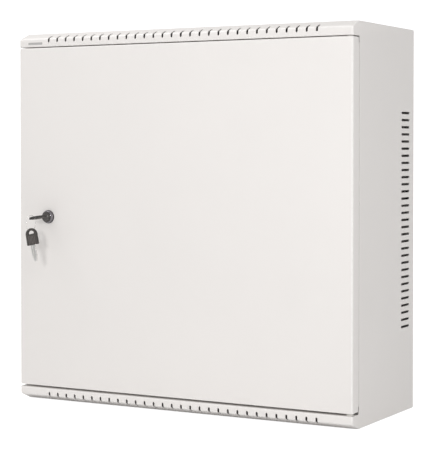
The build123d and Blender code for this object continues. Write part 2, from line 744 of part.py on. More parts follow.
def lock_cam():
    """Flat cam on the end of the plug; it points down when the lock is open."""
    with BuildPart() as cam:
        with BuildSketch(Plane.XZ.offset(-y_from_front(PLUG_END))):
            with Locations((LOCK_X, LOCK_Z)):
                Circle(CAM_WIDTH / 2)
            with Locations((LOCK_X, LOCK_Z - CAM_REACH / 2)):
                Rectangle(CAM_WIDTH, CAM_REACH)
            with Locations((LOCK_X, LOCK_Z)):
                Circle(CAM_SCREW_R + RUNNING_CLEARANCE, mode=Mode.SUBTRACT)
        extrude(amount=-CAM_THICK)
        fillet(cam.edges().filter_by(Axis.Y).sort_by(Axis.Z)[0:2], CAM_CORNER)
    write(cam, "lock_cam")


def cam_screw():
    """Screw that holds the cam on the plug."""
    seat_y = y_from_front(PLUG_END + CAM_THICK)
    with BuildPart() as screw:
        with BuildSketch(Plane.XZ.offset(-seat_y)):
            with Locations((LOCK_X, LOCK_Z)):
                Circle(CAM_SCREW_HEAD_R)
        extrude(amount=-CAM_SCREW_HEAD_HEIGHT)
        with BuildSketch(Plane.XZ.offset(-seat_y)):
            with Locations((LOCK_X, LOCK_Z)):
                Circle(CAM_SCREW_R)
        extrude(amount=CAM_THICK + CAM_SCREW_GRIP - CAM_SCREW_END_PLAY)
    write(screw, "cam_screw")


# ------------------------------------------------------------------ keys

def key_bow(name, plane):
    """Moulded grip of a key: flat, arched at its end, with a wide hole under the arch."""
    half = KEY_BOW_WIDTH / 2
    hole_half = KEY_HOLE_WIDTH / 2
    hole_top = KEY_BOW_LENGTH - KEY_RIM
    with BuildPart() as bow:
        with BuildSketch(plane):
            with BuildLine():
                Polyline(
                    (-half + KEY_ARCH_TAPER, KEY_SHOULDER),
                    (-half, 0),
                    (half, 0),
                    (half - KEY_ARCH_TAPER, KEY_SHOULDER),
                )
                ThreePointArc(
                    (half - KEY_ARCH_TAPER, KEY_SHOULDER),
                    (0, KEY_BOW_LENGTH),
                    (-half + KEY_ARCH_TAPER, KEY_SHOULDER),
                )
            make_face()
            with BuildLine():
                Polyline(
                    (-hole_half, hole_top - KEY_HOLE_ARCH),
                    (-hole_half, hole_top - KEY_HOLE_LENGTH),
                    (hole_half, hole_top - KEY_HOLE_LENGTH),
                    (hole_half, hole_top - KEY_HOLE_ARCH),
                )
                ThreePointArc(
                    (hole_half, hole_top - KEY_HOLE_ARCH),
                    (0, hole_top),
                    (-hole_half, hole_top - KEY_HOLE_ARCH),
                )
            make_face(mode=Mode.SUBTRACT)
        extrude(amount=KEY_BOW_THICK / 2, both=True)
    write(bow, name)


def key_blade(name, plane):
    """Steel blade of a key with its cuts and tapered tip."""
    half = KEY_BLADE_WIDTH / 2
    tip = KEY_TIP_WIDTH / 2
    with BuildPart() as blade:
        with BuildSketch(plane):
            with BuildLine():
                Polyline(
                    (-half, 0),
                    (-half, KEY_TAPER_START),
                    (-tip, -KEY_BLADE_LENGTH),
                    (tip, -KEY_BLADE_LENGTH),
                    (half, KEY_TAPER_START),
                    (half, 0),
                    close=True,
                )
            make_face()
            for index in range(KEY_CUTS):
                with Locations((half, KEY_FIRST_CUT - index * KEY_CUT_PITCH)):
                    Rectangle(KEY_CUT_DEPTH, KEY_CUT_DEPTH, rotation=45, mode=Mode.SUBTRACT)
        extrude(amount=KEY_BLADE_THICK / 2, both=True)
    write(blade, name)


def key_ring():
    """Thin steel ring through both keys."""
    with BuildPart(Plane(origin=(LOCK_X, RING_Y, RING_Z), z_dir=(1, 0, 0))) as ring:
        Torus(RING_R, RING_WIRE_R)
    write(ring, "key_ring")


# ------------------------------------------------------------------ the whole cabinet

band_panel("top_panel", 1, TOP_BAND_EDGE_Z)
band_panel("bottom_panel", -1, BOTTOM_BAND_EDGE_Z)
back_panel()
for side_name, side_sign in (("left", -1), ("right", 1)):
    side_panel(f"side_panel_{side_name}", side_sign)
    side_post(f"side_post_{side_name}", side_sign)
    rack_rail(f"rack_rail_{side_name}", side_sign)
    rail_bracket(f"rail_bracket_upper_{side_name}", side_sign, BRACKET_BAR_Z)
    rail_bracket(f"rail_bracket_lower_{side_name}", side_sign, -BRACKET_BAR_Z)
rail_screws()
rail_nuts()
cage_nuts()
cable_cover("cable_cover_top", 1)
cable_cover("cable_cover_bottom", -1)
cover_screws()
door_bumpers()

casing_earth_plane = Plane(origin=(CASING_EARTH_X, CASING_EARTH_Y, SHEET - HALF_HEIGHT))
door_earth_plane = Plane(origin=(DOOR_EARTH_X, y_from_front(SHEET), DOOR_EARTH_Z), z_dir=(0, 1, 0))
earth_stud("earth_stud_casing", casing_earth_plane)
earth_nut("earth_nut_casing", casing_earth_plane)
earth_stud("earth_stud_door", door_earth_plane)
earth_nut("earth_nut_door", door_earth_plane)

door_pan()
door_stiffener()
hinge_bracket("hinge_bracket_top", TOP_EAR_Z, TOP_EAR_Z, DOOR_TOP_Z - BRACKET_END_GAP)
hinge_bracket(
    "hinge_bracket_bottom",
    BOTTOM_EAR_Z,
    DOOR_BOTTOM_Z + BRACKET_END_GAP,
    BOTTOM_EAR_Z + BRACKET_THICK,
)
hinge_pin_bottom()
pivot_disc("hinge_bush_bottom", -BOTTOM_BAND_EDGE_Z, BOTTOM_GAP - GAP_PLAY, HINGE_HOLE_R, BUSH_R)
pivot_disc("hinge_bush_top", DOOR_TOP_Z, TOP_GAP - GAP_PLAY, HINGE_HOLE_R, BUSH_R)
hinge_pin_top()
pivot_disc("hinge_pin_knob", TOP_PIN_LOW_Z, KNOB_HEIGHT, HINGE_PIN_R, KNOB_R)
hinge_spring()

lock_barrel()
lock_plug()
lock_washer_and_nut()
lock_cam()
cam_screw()

tilt_angle = math.radians(SPARE_TILT)
spare_up = Vector(-math.sin(tilt_angle), 0, math.cos(tilt_angle))
spare_across = Vector(math.cos(tilt_angle), 0, math.sin(tilt_angle))
ring_low_wire = Vector(LOCK_X, RING_Y, RING_Z - RING_R)
spare_rim_height = KEY_BOW_LENGTH - KEY_RIM - RING_WIRE_R - RING_PLAY
turn_angle = math.radians(KEY_TURN)
key_plane = Plane(
    origin=(LOCK_X, KEY_BASE_Y, LOCK_Z),
    x_dir=(math.cos(turn_angle), 0, math.sin(turn_angle)),
    z_dir=(math.sin(turn_angle), 0, -math.cos(turn_angle)),
)
spare_plane = Plane(origin=ring_low_wire - spare_up * spare_rim_height, x_dir=spare_across, z_dir=(0, -1, 0))
key_bow("key_bow", key_plane)
key_blade("key_blade", key_plane)
key_ring()
key_bow("spare_key_bow", spare_plane)
key_blade("spare_key_blade", spare_plane)
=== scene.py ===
import json
import math

import bmesh
import bpy
from bpy.props import FloatProperty, FloatVectorProperty, IntProperty, PointerProperty
from mathutils import Matrix, Vector


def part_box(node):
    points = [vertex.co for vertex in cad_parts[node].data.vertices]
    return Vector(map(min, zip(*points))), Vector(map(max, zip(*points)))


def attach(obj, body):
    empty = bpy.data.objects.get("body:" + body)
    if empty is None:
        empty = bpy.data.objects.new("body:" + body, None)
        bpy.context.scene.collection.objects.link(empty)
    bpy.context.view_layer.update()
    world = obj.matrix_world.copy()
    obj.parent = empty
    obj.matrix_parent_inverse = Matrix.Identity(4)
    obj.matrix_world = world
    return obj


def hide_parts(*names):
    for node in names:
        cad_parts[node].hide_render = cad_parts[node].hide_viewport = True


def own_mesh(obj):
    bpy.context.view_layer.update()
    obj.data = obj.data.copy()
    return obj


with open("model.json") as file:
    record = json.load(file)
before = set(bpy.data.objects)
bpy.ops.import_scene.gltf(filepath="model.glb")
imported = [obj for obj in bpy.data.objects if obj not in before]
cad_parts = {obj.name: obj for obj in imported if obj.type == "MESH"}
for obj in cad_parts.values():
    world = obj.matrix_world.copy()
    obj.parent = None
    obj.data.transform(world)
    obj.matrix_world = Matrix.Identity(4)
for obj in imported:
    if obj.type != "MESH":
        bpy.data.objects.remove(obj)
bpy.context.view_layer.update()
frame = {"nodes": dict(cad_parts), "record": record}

bl_info = {
    "name": "Wall Network Cabinet",
    "version": (1, 0, 0),
    "blender": (4, 5, 0),
    "location": "3D View > Sidebar > Cabinet",
    "description": "Builds the visible pieces of a folded-steel 19 inch wall cabinet round its packed frame",
    "category": "Object",
}

MM = 0.001
ZERO = (0, 0, 0)
RIGHT_ANGLE = math.pi / 2

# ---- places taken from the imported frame, in metres ----
SIDE_LOW, SIDE_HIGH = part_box("side_panel_right")
DOOR_LOW, DOOR_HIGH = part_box("door_pan")
LOCK_LOW, LOCK_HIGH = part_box("lock_barrel")
PLUG_LOW, PLUG_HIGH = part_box("lock_plug")
BOW_LOW, BOW_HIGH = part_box("key_bow")
RING_LOW, RING_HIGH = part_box("key_ring")
SPRING_LOW, SPRING_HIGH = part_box("hinge_spring")
PIN_LOW, PIN_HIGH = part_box("hinge_pin_top")
COVER_LOW, COVER_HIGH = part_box("cable_cover_top")

HALF_WIDTH = SIDE_HIGH.x
HALF_HEIGHT = SIDE_HIGH.z
FRONT_Y = SIDE_LOW.y
SHEET = SIDE_HIGH.x - SIDE_LOW.x
DOOR_SIDE_GAP = 0.6 * MM
SIDE_FRONT_Y = DOOR_HIGH.y + DOOR_SIDE_GAP
TOP_EDGE_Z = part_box("top_panel")[0].z
BOTTOM_EDGE_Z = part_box("bottom_panel")[1].z
LOCK_X = (LOCK_LOW.x + LOCK_HIGH.x) / 2
LOCK_Z = (LOCK_LOW.z + LOCK_HIGH.z) / 2
PIVOT_X = (PIN_LOW.x + PIN_HIGH.x) / 2
PIVOT_Y = (PIN_LOW.y + PIN_HIGH.y) / 2
RING_MIDDLE = (RING_LOW + RING_HIGH) / 2

# ---- sizes of the sheet work that nothing else depends on ----
RETURN_INSET = 2.4 * MM
ENTRY_MARGIN = 12 * MM
ENTRY_CORNER = 3 * MM
PIN_HOLE_RADIUS = 3.1 * MM
LOCK_HOLE_RADIUS = 9.1 * MM
DOOR_LIP_TRIM = 8 * MM
DOOR_LIP_TAPER = 3 * MM
DOOR_RELIEF_WIDTH = 4 * MM
DOOR_RELIEF_DEPTH = 2.6 * MM
DOOR_REAR_RADIUS = 1.2 * MM
EDGE_ATTRIBUTE = "edge_strip"


# ================================================================== settings

def length(name, description, size, low=0.0):
    """A length that the user can change; its default and its least value are in millimetres."""
    return FloatProperty(name=name, description=description, default=size * MM, min=low * MM, unit="LENGTH")


def colour(name, description, *shade):
    """A colour that the user can change."""
    return FloatVectorProperty(
        name=name, description=description, subtype="COLOR", size=4, default=(*shade, 1.0), min=0.0, max=1.0)


class CabinetSizes(bpy.types.PropertyGroup):
    """Sizes of the folded sheet work and of what is punched in it."""
    slope_depth: length("Slope depth", "How far back the sloping part of a band reaches", 21)
    slope_rise: length("Slope rise", "Height of the sloping part of a band", 8.7)
    fold_radius: length("Fold radius", "Outer radius of the folds in the sheet", 2.2)
    return_depth: length("Return depth", "Depth of the band's flange above or below the door", 20)
    slot_count: IntProperty(name="Band slots", description="Number of slots in each band", default=30, min=1)
    slot_pitch: length("Slot pitch", "Distance from slot to slot in a band", 15)
    slot_width: length("Slot width", "Width of a band slot", 3.2)
    slot_on_face: length("Slot on face", "How far a slot runs down the band's upright face", 5)
    slot_on_slope: length("Slot on slope", "How far a slot runs back along the sloping part", 10)
    vent_count: IntProperty(
        name="Side vents", description="Number of vent slots in each side wall", default=31, min=1)
    vent_pitch: length("Vent pitch", "Distance from vent to vent", 10.1)
    vent_length: length("Vent length", "Length of a side vent", 30.5)
    vent_height: length("Vent height", "Height of a side vent", 3.4)
    vent_from_front: length("Vent place", "Distance of the vents' middle behind the front face", 182.9)
    vent_lift: length("Vent lift", "Height of the vent row's middle above the cabinet's middle", 0.5, -100)
    door_lip: length("Door lip", "Width of the inner lips along the door's sides", 11)


class CabinetColours(bpy.types.PropertyGroup):
    """Colours of the finishes."""
    coat: colour("Powder coat", "Colour of the coated sheet", 0.810, 0.780, 0.757)
    zinc: colour("Zinc", "Colour of the plated steel", 0.60, 0.59, 0.56)
    dark_nickel: colour("Dark nickel", "Colour of the lock's head", 0.055, 0.052, 0.056)
    bright_nickel: colour("Bright nickel", "Colour of the key shanks and the ring", 0.74, 0.73, 0.71)
    grip: colour("Key grip", "Colour of the moulded key grips", 0.062, 0.054, 0.050)
    grip_rim: colour("Key grip rim", "Colour of the key grips along their rims", 0.012, 0.011, 0.011)


# ================================================================== node helpers

class NodeWriter:
    """Adds nodes to a tree; each input is given by name as a value or as the socket to link."""

    def __init__(self, tree):
        self.tree = tree

    def add(self, kind, inputs=None, **settings):
        node = self.tree.nodes.new(kind)
        for key, value in settings.items():
            setattr(node, key, value)
        for key, value in (inputs or {}).items():
            if isinstance(value, bpy.types.NodeSocket):
                self.tree.links.new(value, node.inputs[key])
            else:
                node.inputs[key].default_value = value
        return node

    def link(self, source, target):
        self.tree.links.new(source, target)

    def math(self, operation, first, second, clamp=False):
        """One step of arithmetic; returns its result socket."""
        node = self.add("ShaderNodeMath", {0: first, 1: second}, operation=operation, use_clamp=clamp)
        return node.outputs[0]

    def swing(self, noise, amount):
        """A noise of 0 to 1 as an even swing about zero; returns its socket."""
        return self.math("MULTIPLY", self.math("SUBTRACT", noise, 0.5), amount)

    def noise(self, scale, **inputs):
        """Noise that is fixed to the object; returns its socket."""
        place = self.add("ShaderNodeTexCoord")
        return self.add("ShaderNodeTexNoise", {
            "Vector": place.outputs["Object"], "Scale": scale, **inputs,
        }).outputs["Fac"]

    def tint(self, base, gain):
        """A colour times a gain; returns its socket."""
        return self.add("ShaderNodeVectorMath", {0: base, 1: gain}, operation="MULTIPLY").outputs[0]

    def mix(self, share, first, second):
        """A mix of two colours; returns its socket."""
        node = self.add("ShaderNodeMix", data_type="RGBA")
        ends = [socket for socket in node.inputs if socket.type == "RGBA"]
        for source, target in ((share, node.inputs[0]), (first, ends[0]), (second, ends[1])):
            self.link(source, target)
        return [socket for socket in node.outputs if socket.type == "RGBA"][0]


def add_socket(tree, name, kind, default=None, output=False):
    """Adds a named input or output to a node group."""
    direction = "OUTPUT" if output else "INPUT"
    socket = tree.interface.new_socket(name, in_out=direction, socket_type=kind)
    if default is not None:
        socket.default_value = default
    return socket


def shader_group(name, inputs, outputs):
    """Starts a shader node group and returns it with its writer, its input and its output node."""
    tree = bpy.data.node_groups.new(name, "ShaderNodeTree")
    for socket_name, kind, default in inputs:
        add_socket(tree, socket_name, kind, default)
    for socket_name, kind in outputs:
        add_socket(tree, socket_name, kind, output=True)
    writer = NodeWriter(tree)
    return tree, writer, writer.add("NodeGroupInput"), writer.add("NodeGroupOutput")


FLOAT = "NodeSocketFloat"
COUNT = "NodeSocketInt"
COLOUR = "NodeSocketColor"
VECTOR = "NodeSocketVector"
MATERIAL = "NodeSocketMaterial"


def make_mottle_group():
    """Slow drift of colour over a surface, as in any sprayed or plated batch."""
    tree, w, given, result = shader_group(
        "Colour drift",
        [("Colour", COLOUR, (0.8, 0.8, 0.8, 1.0)), ("Scale", FLOAT, 6.0), ("Amount", FLOAT, 0.03)],
        [("Colour", COLOUR)],
    )
    noise = w.noise(given.outputs["Scale"], Detail=3.0, Roughness=0.55)
    gain = w.math("ADD", w.swing(noise, given.outputs["Amount"]), 1.0)
    w.link(w.tint(given.outputs["Colour"], gain), result.inputs["Colour"])
    return tree


def make_peel_group():
    """Fine orange peel of a powder coat: shallow rounded cells over a slower swell."""
    tree, w, given, result = shader_group(
        "Coat peel", [("Scale", FLOAT, 620.0), ("Swell", FLOAT, 0.35)], [("Height", FLOAT)])
    cells = w.noise(given.outputs["Scale"], Detail=1.5, Roughness=0.4)
    swell = w.noise(w.math("MULTIPLY", given.outputs["Scale"], 0.12), Detail=1.0)
    lift = w.math("MULTIPLY", swell, given.outputs["Swell"])
    w.link(w.math("ADD", cells, lift), result.inputs["Height"])
    return tree


def make_handling_group():
    """Roughness that varies in soft smears, as handled surfaces do."""
    tree, w, given, result = shader_group(
        "Handling marks",
        [("Roughness", FLOAT, 0.4), ("Spread", FLOAT, 0.08), ("Scale", FLOAT, 14.0)],
        [("Roughness", FLOAT)],
    )
    smear = w.noise(given.outputs["Scale"], Detail=5.0, Roughness=0.6, Distortion=0.8)
    swing = w.swing(smear, given.outputs["Spread"])
    w.link(w.math("ADD", swing, given.outputs["Roughness"], clamp=True), result.inputs["Roughness"])
    return tree


def make_dust_group():
    """Colour with a thin film of dust where the surface faces up."""
    tree, w, given, result = shader_group(
        "Settled dust",
        [("Colour", COLOUR, (0.8, 0.8, 0.8, 1.0)), ("Dust", COLOUR, (0.62, 0.59, 0.54, 1.0)),
         ("Amount", FLOAT, 0.12), ("Scale", FLOAT, 90.0)],
        [("Colour", COLOUR)],
    )
    place = w.add("ShaderNodeTexCoord")
    split = w.add("ShaderNodeSeparateXYZ", {0: place.outputs["Normal"]})
    upward = w.add("ShaderNodeMapRange", {
        "Value": split.outputs["Z"], "From Min": 0.80, "From Max": 1.0, "To Min": 0.0, "To Max": 1.0,
    })
    specks = w.noise(given.outputs["Scale"], Detail=6.0, Roughness=0.7)
    mask = w.math("MULTIPLY", w.math("MULTIPLY", upward.outputs[0], specks), given.outputs["Amount"])
    w.link(w.mix(mask, given.outputs["Colour"], given.outputs["Dust"]), result.inputs["Colour"])
    return tree


def make_grain_group():
    """Drawn or brushed grain: noise stretched along one axis, as height and as a shade."""
    tree, w, given, result = shader_group(
        "Drawn grain",
        [("Along", VECTOR, (40.0, 900.0, 900.0)), ("Shade", FLOAT, 0.12)],
        [("Height", FLOAT), ("Gain", FLOAT)],
    )
    place = w.add("ShaderNodeTexCoord")
    stretched = w.tint(place.outputs["Object"], given.outputs["Along"])
    grain = w.add("ShaderNodeTexNoise", {"Vector": stretched, "Scale": 1.0, "Detail": 4.0})
    w.link(grain.outputs["Fac"], result.inputs["Height"])
    gain = w.math("ADD", w.swing(grain.outputs["Fac"], given.outputs["Shade"]), 1.0)
    w.link(gain, result.inputs["Gain"])
    return tree


def make_spangle_group():
    """Crystal patches of zinc plating as a gain on the colour."""
    tree, w, given, result = shader_group(
        "Zinc spangle", [("Scale", FLOAT, 160.0), ("Amount", FLOAT, 0.16)], [("Gain", FLOAT)])
    place = w.add("ShaderNodeTexCoord")
    cells = w.add("ShaderNodeTexVoronoi", {
        "Vector": place.outputs["Object"], "Scale": given.outputs["Scale"], "Randomness": 1.0,
    })
    shade = w.add("ShaderNodeSeparateColor", {0: cells.outputs["Color"]})
    gain = w.math("ADD", w.swing(shade.outputs[0], given.outputs["Amount"]), 1.0)
    w.link(gain, result.inputs["Gain"])
    return tree


def make_edge_group():
    """Another colour along folds and rims, broken up by fine noise; reads the piece's own attribute."""
    tree, w, given, result = shader_group(
        "Edge tone",
        [("Colour", COLOUR, (0.8, 0.8, 0.8, 1.0)), ("Edge colour", COLOUR, (0.9, 0.9, 0.9, 1.0)),
         ("Amount", FLOAT, 0.5), ("Scale", FLOAT, 300.0)],
        [("Colour", COLOUR)],
    )
    along_edge = w.add("ShaderNodeAttribute", attribute_name=EDGE_ATTRIBUTE, attribute_type="GEOMETRY")
    # Noise that breaks up the edge colour; on the powder coat that edge colour is a painted highlight along
    # the folds.
    edge_breakup = w.noise(given.outputs["Scale"], Detail=4.0, Roughness=0.65)
    broken = w.add("ShaderNodeMapRange", {
        "Value": edge_breakup, "From Min": 0.35, "From Max": 0.60, "To Min": 0.25, "To Max": 1.0,
    })
    mask = w.math("MULTIPLY", along_edge.outputs["Fac"], broken.outputs[0])
    mask = w.math("MULTIPLY", mask, given.outputs["Amount"], clamp=True)
    w.link(w.mix(mask, given.outputs["Colour"], given.outputs["Edge colour"]), result.inputs["Colour"])
    return tree


GROUP_MAKERS = {
    "Colour drift": make_mottle_group,
    "Coat peel": make_peel_group,
    "Handling marks": make_handling_group,
    "Settled dust": make_dust_group,
    "Drawn grain": make_grain_group,
    "Zinc spangle": make_spangle_group,
    "Edge tone": make_edge_group,
}


def effect(writer, name, inputs):
    """Places a shared effect group in a material."""
    tree = bpy.data.node_groups.get(name) or GROUP_MAKERS[name]()
    return writer.add("ShaderNodeGroup", inputs, node_tree=tree)


# ================================================================== materials

def start_material(name):
    """An empty material with its Principled BSDF linked to the output."""
    material = bpy.data.materials.new(name)
    material.use_nodes = True
    material.node_tree.nodes.clear()
    writer = NodeWriter(material.node_tree)
    shader = writer.add("ShaderNodeBsdfPrincipled")
    output = writer.add("ShaderNodeOutputMaterial")
    writer.link(shader.outputs[0], output.inputs[0])
    return material, writer, shader


def bump(writer, shader, height, strength, distance):
    """Feeds a height into the shader's normal."""
    node = writer.add("ShaderNodeBump", {"Height": height, "Strength": strength, "Distance": distance})
    writer.link(node.outputs[0], shader.inputs["Normal"])
    return node


def powder_coat(name, dust=0.10):
    """Light grey powder coat: warm base, slight drift, painted highlight along folds and rims, orange peel,
    dust on level tops.
    """
    colours = bpy.context.scene.cabinet_colours
    material, w, shader = start_material(name)
    drift = effect(w, "Colour drift", {"Colour": tuple(colours.coat), "Scale": 5.0, "Amount": 0.035})
    # Painted highlight: a lighter coat colour along folds and rims stands in for the light that the rounded
    # folds catch.
    fold_painted_highlight = effect(w, "Edge tone", {
        "Colour": drift.outputs["Colour"], "Edge colour": (0.90, 0.885, 0.87, 1.0), "Amount": 0.45,
        "Scale": 240.0,
    })
    dusty = effect(w, "Settled dust", {"Colour": fold_painted_highlight.outputs["Colour"], "Amount": dust})
    w.link(dusty.outputs["Colour"], shader.inputs["Base Color"])
    marks = effect(w, "Handling marks", {"Roughness": 0.43, "Spread": 0.14, "Scale": 9.0})
    w.link(marks.outputs["Roughness"], shader.inputs["Roughness"])
    peel = effect(w, "Coat peel", {"Scale": 620.0, "Swell": 0.35})
    bump(w, shader, peel.outputs["Height"], 0.20, 0.00006)
    shader.inputs["IOR"].default_value = 1.5
    return material


def plated_steel(name, along, colour, roughness, spangle):
    """Plated steel with drawn grain along one axis and crystal patches."""
    material, w, shader = start_material(name)
    patches = effect(w, "Zinc spangle", {"Scale": 170.0, "Amount": spangle})
    grain = effect(w, "Drawn grain", {"Along": along, "Shade": 0.10})
    gain = w.math("MULTIPLY", patches.outputs["Gain"], grain.outputs["Gain"])
    drift = effect(w, "Colour drift", {"Colour": tuple(colour), "Scale": 30.0, "Amount": 0.10})
    w.link(w.tint(drift.outputs["Colour"], gain), shader.inputs["Base Color"])
    shader.inputs["Metallic"].default_value = 1.0
    marks = effect(w, "Handling marks", {"Roughness": roughness, "Spread": 0.22, "Scale": 60.0})
    w.link(marks.outputs["Roughness"], shader.inputs["Roughness"])
    bump(w, shader, grain.outputs["Height"], 0.12, 0.00004)
    return material


def moulded(name, colour, roughness, grain_scale, strength, edge_colour=None):
    """Moulded plastic or rubber with a fine grain and, where given, another tone on its rims."""
    material, w, shader = start_material(name)
    drift = effect(w, "Colour drift", {"Colour": tuple(colour), "Scale": 120.0, "Amount": 0.25})
    toned = effect(w, "Edge tone", {
        "Colour": drift.outputs["Colour"], "Edge colour": tuple(edge_colour or colour), "Amount": 0.95,
        "Scale": 500.0,
    })
    w.link(toned.outputs["Colour"], shader.inputs["Base Color"])
    marks = effect(w, "Handling marks", {"Roughness": roughness, "Spread": 0.16, "Scale": 160.0})
    w.link(marks.outputs["Roughness"], shader.inputs["Roughness"])
    grain = effect(w, "Coat peel", {"Scale": grain_scale, "Swell": 0.2})
    bump(w, shader, grain.outputs["Height"], strength, 0.00006)
    return material


def make_materials():
    """All finishes, by the name of the record's slot or of the piece that needs its own."""
    colours = bpy.context.scene.cabinet_colours
    steel = colours.bright_nickel
    return {
        "powder_grey": powder_coat("coat_light_grey"),
        "zinc_steel": plated_steel(
            "zinc_plated_steel", (700.0, 700.0, 60.0), colours.zinc, 0.36, 0.16),
        "lock_metal": plated_steel(
            "dark_nickel", (900.0, 500.0, 900.0), colours.dark_nickel, 0.20, 0.05),
        # Painted highlight: the lock head's side wall gets a lighter, glossier copy of its dark nickel to
        # stand in for the highlight that it catches.
        "lock_bezel": plated_steel(
            "bright_bezel", (900.0, 500.0, 900.0), (0.25, 0.24, 0.26, 1.0), 0.14, 0.04),
        "lock_face": plated_steel(
            "satin_dark_nickel", (900.0, 900.0, 300.0), (0.165, 0.155, 0.150, 1.0), 0.38, 0.08),
        "spring_steel": plated_steel("spring_wire", (900.0, 900.0, 900.0), steel, 0.24, 0.05),
        "key_steel": plated_steel("nickel_key_blank", (120.0, 900.0, 900.0), steel, 0.30, 0.04),
        "bow_plastic": moulded("grip_moulding", colours.grip, 0.50, 2200.0, 0.25, colours.grip_rim),
        # Painted highlight: the ribs get a lighter copy of the grip plastic to stand in for the light that
        # they catch.
        "grip_rib": moulded("grip_rib_rubbed", (0.105, 0.092, 0.085, 1.0), 0.40, 2200.0, 0.20),
        "bush_plastic": moulded("natural_nylon", (0.78, 0.77, 0.73, 1.0), 0.45, 1500.0, 0.10),
        "bumper_rubber": moulded("bumper_rubber", (0.022, 0.022, 0.022, 1.0), 0.78, 1800.0, 0.35),
        "badge": moulded("badge_print", (0.45, 0.44, 0.43, 1.0), 0.50, 1500.0, 0.08),
    }


FINISHES = {}


def finish(name):
    """The material made for a slot or a special finish."""
    if not FINISHES:
        FINISHES.update(make_materials())
    return FINISHES[name]


# ================================================================== mesh helpers

def put_in_scene(name, data):
    """A new object of some data, linked to the scene."""
    obj = bpy.data.objects.new(name, data)
    bpy.context.scene.collection.objects.link(obj)
    return obj


def remove_piece(obj):
    """Removes an object and its mesh."""
    mesh = obj.data
    bpy.data.objects.remove(obj)
    bpy.data.meshes.remove(mesh)


def object_from_bmesh(name, bm):
    """A new linked object made of a bmesh, which is freed."""
    mesh = bpy.data.meshes.new(name)
    bm.to_mesh(mesh)
    bm.free()
    return put_in_scene(name, mesh)


def evaluated_mesh(obj):
    """A new mesh of an object as its modifiers or curve settings leave it."""
    bpy.context.view_layer.update()
    depsgraph = bpy.context.evaluated_depsgraph_get()
    return bpy.data.meshes.new_from_object(obj.evaluated_get(depsgraph), depsgraph=depsgraph)


def bake_modifiers(obj):
    """Applies every modifier of an object through the evaluated mesh."""
    mesh = evaluated_mesh(obj)
    obj.modifiers.clear()
    old = obj.data
    obj.data = mesh
    mesh.name = obj.name
    bpy.data.meshes.remove(old)


def mesh_from_curve(obj, matrix):
    """Turns a curve object into a mesh object of the same name, placed by a matrix."""
    mesh = evaluated_mesh(obj)
    mesh.transform(matrix)
    name = obj.name
    curve = obj.data
    bpy.data.objects.remove(obj)
    bpy.data.curves.remove(curve)
    mesh.name = name
    return put_in_scene(name, mesh)


def tidy_mesh(obj, angle=30.0, merge=1e-6):
    """Merges doubles, turns faces outwards and shades folds smooth but real edges sharp."""
    bm = bmesh.new()
    bm.from_mesh(obj.data)
    bmesh.ops.remove_doubles(bm, verts=bm.verts, dist=merge)
    bmesh.ops.dissolve_degenerate(bm, edges=bm.edges, dist=merge)
    bmesh.ops.recalc_face_normals(bm, faces=bm.faces)
    for face in bm.faces:
        face.smooth = True
    bm.to_mesh(obj.data)
    bm.free()
    obj.data.set_sharp_from_angle(angle=math.radians(angle))
    return obj


def mark_edges(obj, flat_axes, width):
    """Marks the narrow strips of folds and rims, which face along none of the flat axes."""
    mesh = obj.data
    marks = mesh.attributes.new(EDGE_ATTRIBUTE, "FLOAT", "FACE")
    for face in mesh.polygons:
        corners = [mesh.vertices[index].co for index in face.vertices]
        longest = max((a - b).length for a, b in zip(corners, corners[1:] + corners[:1]))
        tilted = all(abs(face.normal.dot(axis)) < 0.995 for axis in flat_axes)
        narrow = face.area < width * longest
        marks.data[face.index].value = 1.0 if tilted and narrow else 0.0


AXES = (Vector((1, 0, 0)), Vector((0, 1, 0)), Vector((0, 0, 1)))


def settle(obj, material, body, slot, *nodes):
    """Gives a finished piece its material and its body and hides the nodes that it stands for; its slot
    argument is not used.
    """
    obj.data.materials.clear()
    obj.data.materials.append(material)
    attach(obj, body)
    if nodes:
        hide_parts(*nodes)
    return obj


def lathe(bm, profile, centre, segments=64, axis="Y"):
    """Turns a profile of (radius, place along the axis) pairs into rings of faces; radius 0 is a pole."""
    rings = []
    for radius, along in profile:
        if radius < 1e-9:
            rings.append([bm.verts.new(lathe_point(centre, 0.0, 0.0, along, axis))])
            continue
        ring = []
        for index in range(segments):
            turn = 2 * math.pi * index / segments
            ring.append(bm.verts.new(lathe_point(
                centre, radius * math.cos(turn), radius * math.sin(turn), along, axis)))
        rings.append(ring)
    for first, second in zip(rings, rings[1:]):
        for index in range(segments):
            following = (index + 1) % segments
            if len(first) == 1 and len(second) == 1:
                continue
            if len(first) == 1:
                bm.faces.new((first[0], second[index], second[following]))
            elif len(second) == 1:
                bm.faces.new((first[index], second[0], first[following]))
            else:
                bm.faces.new((first[index], second[index], second[following], first[following]))
    return rings


def lathe_point(centre, across, up, along, axis):
    """A point of a turned shape, with its axis along Y or Z."""
    if axis == "Y":
        return (centre[0] + across, centre[1] + along, centre[2] + up)
    return (centre[0] + across, centre[1] + up, centre[2] + along)


def plane_matrix(origin, across, along):
    """Matrix that lays flat work (x across, y along, z out of the plane) at a place."""
    x = Vector(across).normalized()
    y = Vector(along).normalized()
    z = x.cross(y)
    matrix = Matrix((x, y, z)).transposed().to_4x4()
    matrix.translation = Vector(origin)
    return matrix


def flat_plate(name, outlines, thickness, edge, matrix):
    """A plate from closed outlines, the first its rim and the rest holes, with rounded edges."""
    curve = bpy.data.curves.new(name, "CURVE")
    curve.dimensions = "2D"
    curve.fill_mode = "BOTH"
    curve.extrude = thickness / 2 - edge
    curve.bevel_depth = edge
    curve.bevel_resolution = 2
    curve.offset = -edge
    for outline in outlines:
        spline = curve.splines.new("POLY")
        spline.points.add(len(outline) - 1)
        spline.use_cyclic_u = True
        for point, (x, y) in zip(spline.points, outline):
            point.co = (x, y, 0.0, 1.0)
    return tidy_mesh(mesh_from_curve(put_in_scene(name, curve), matrix))


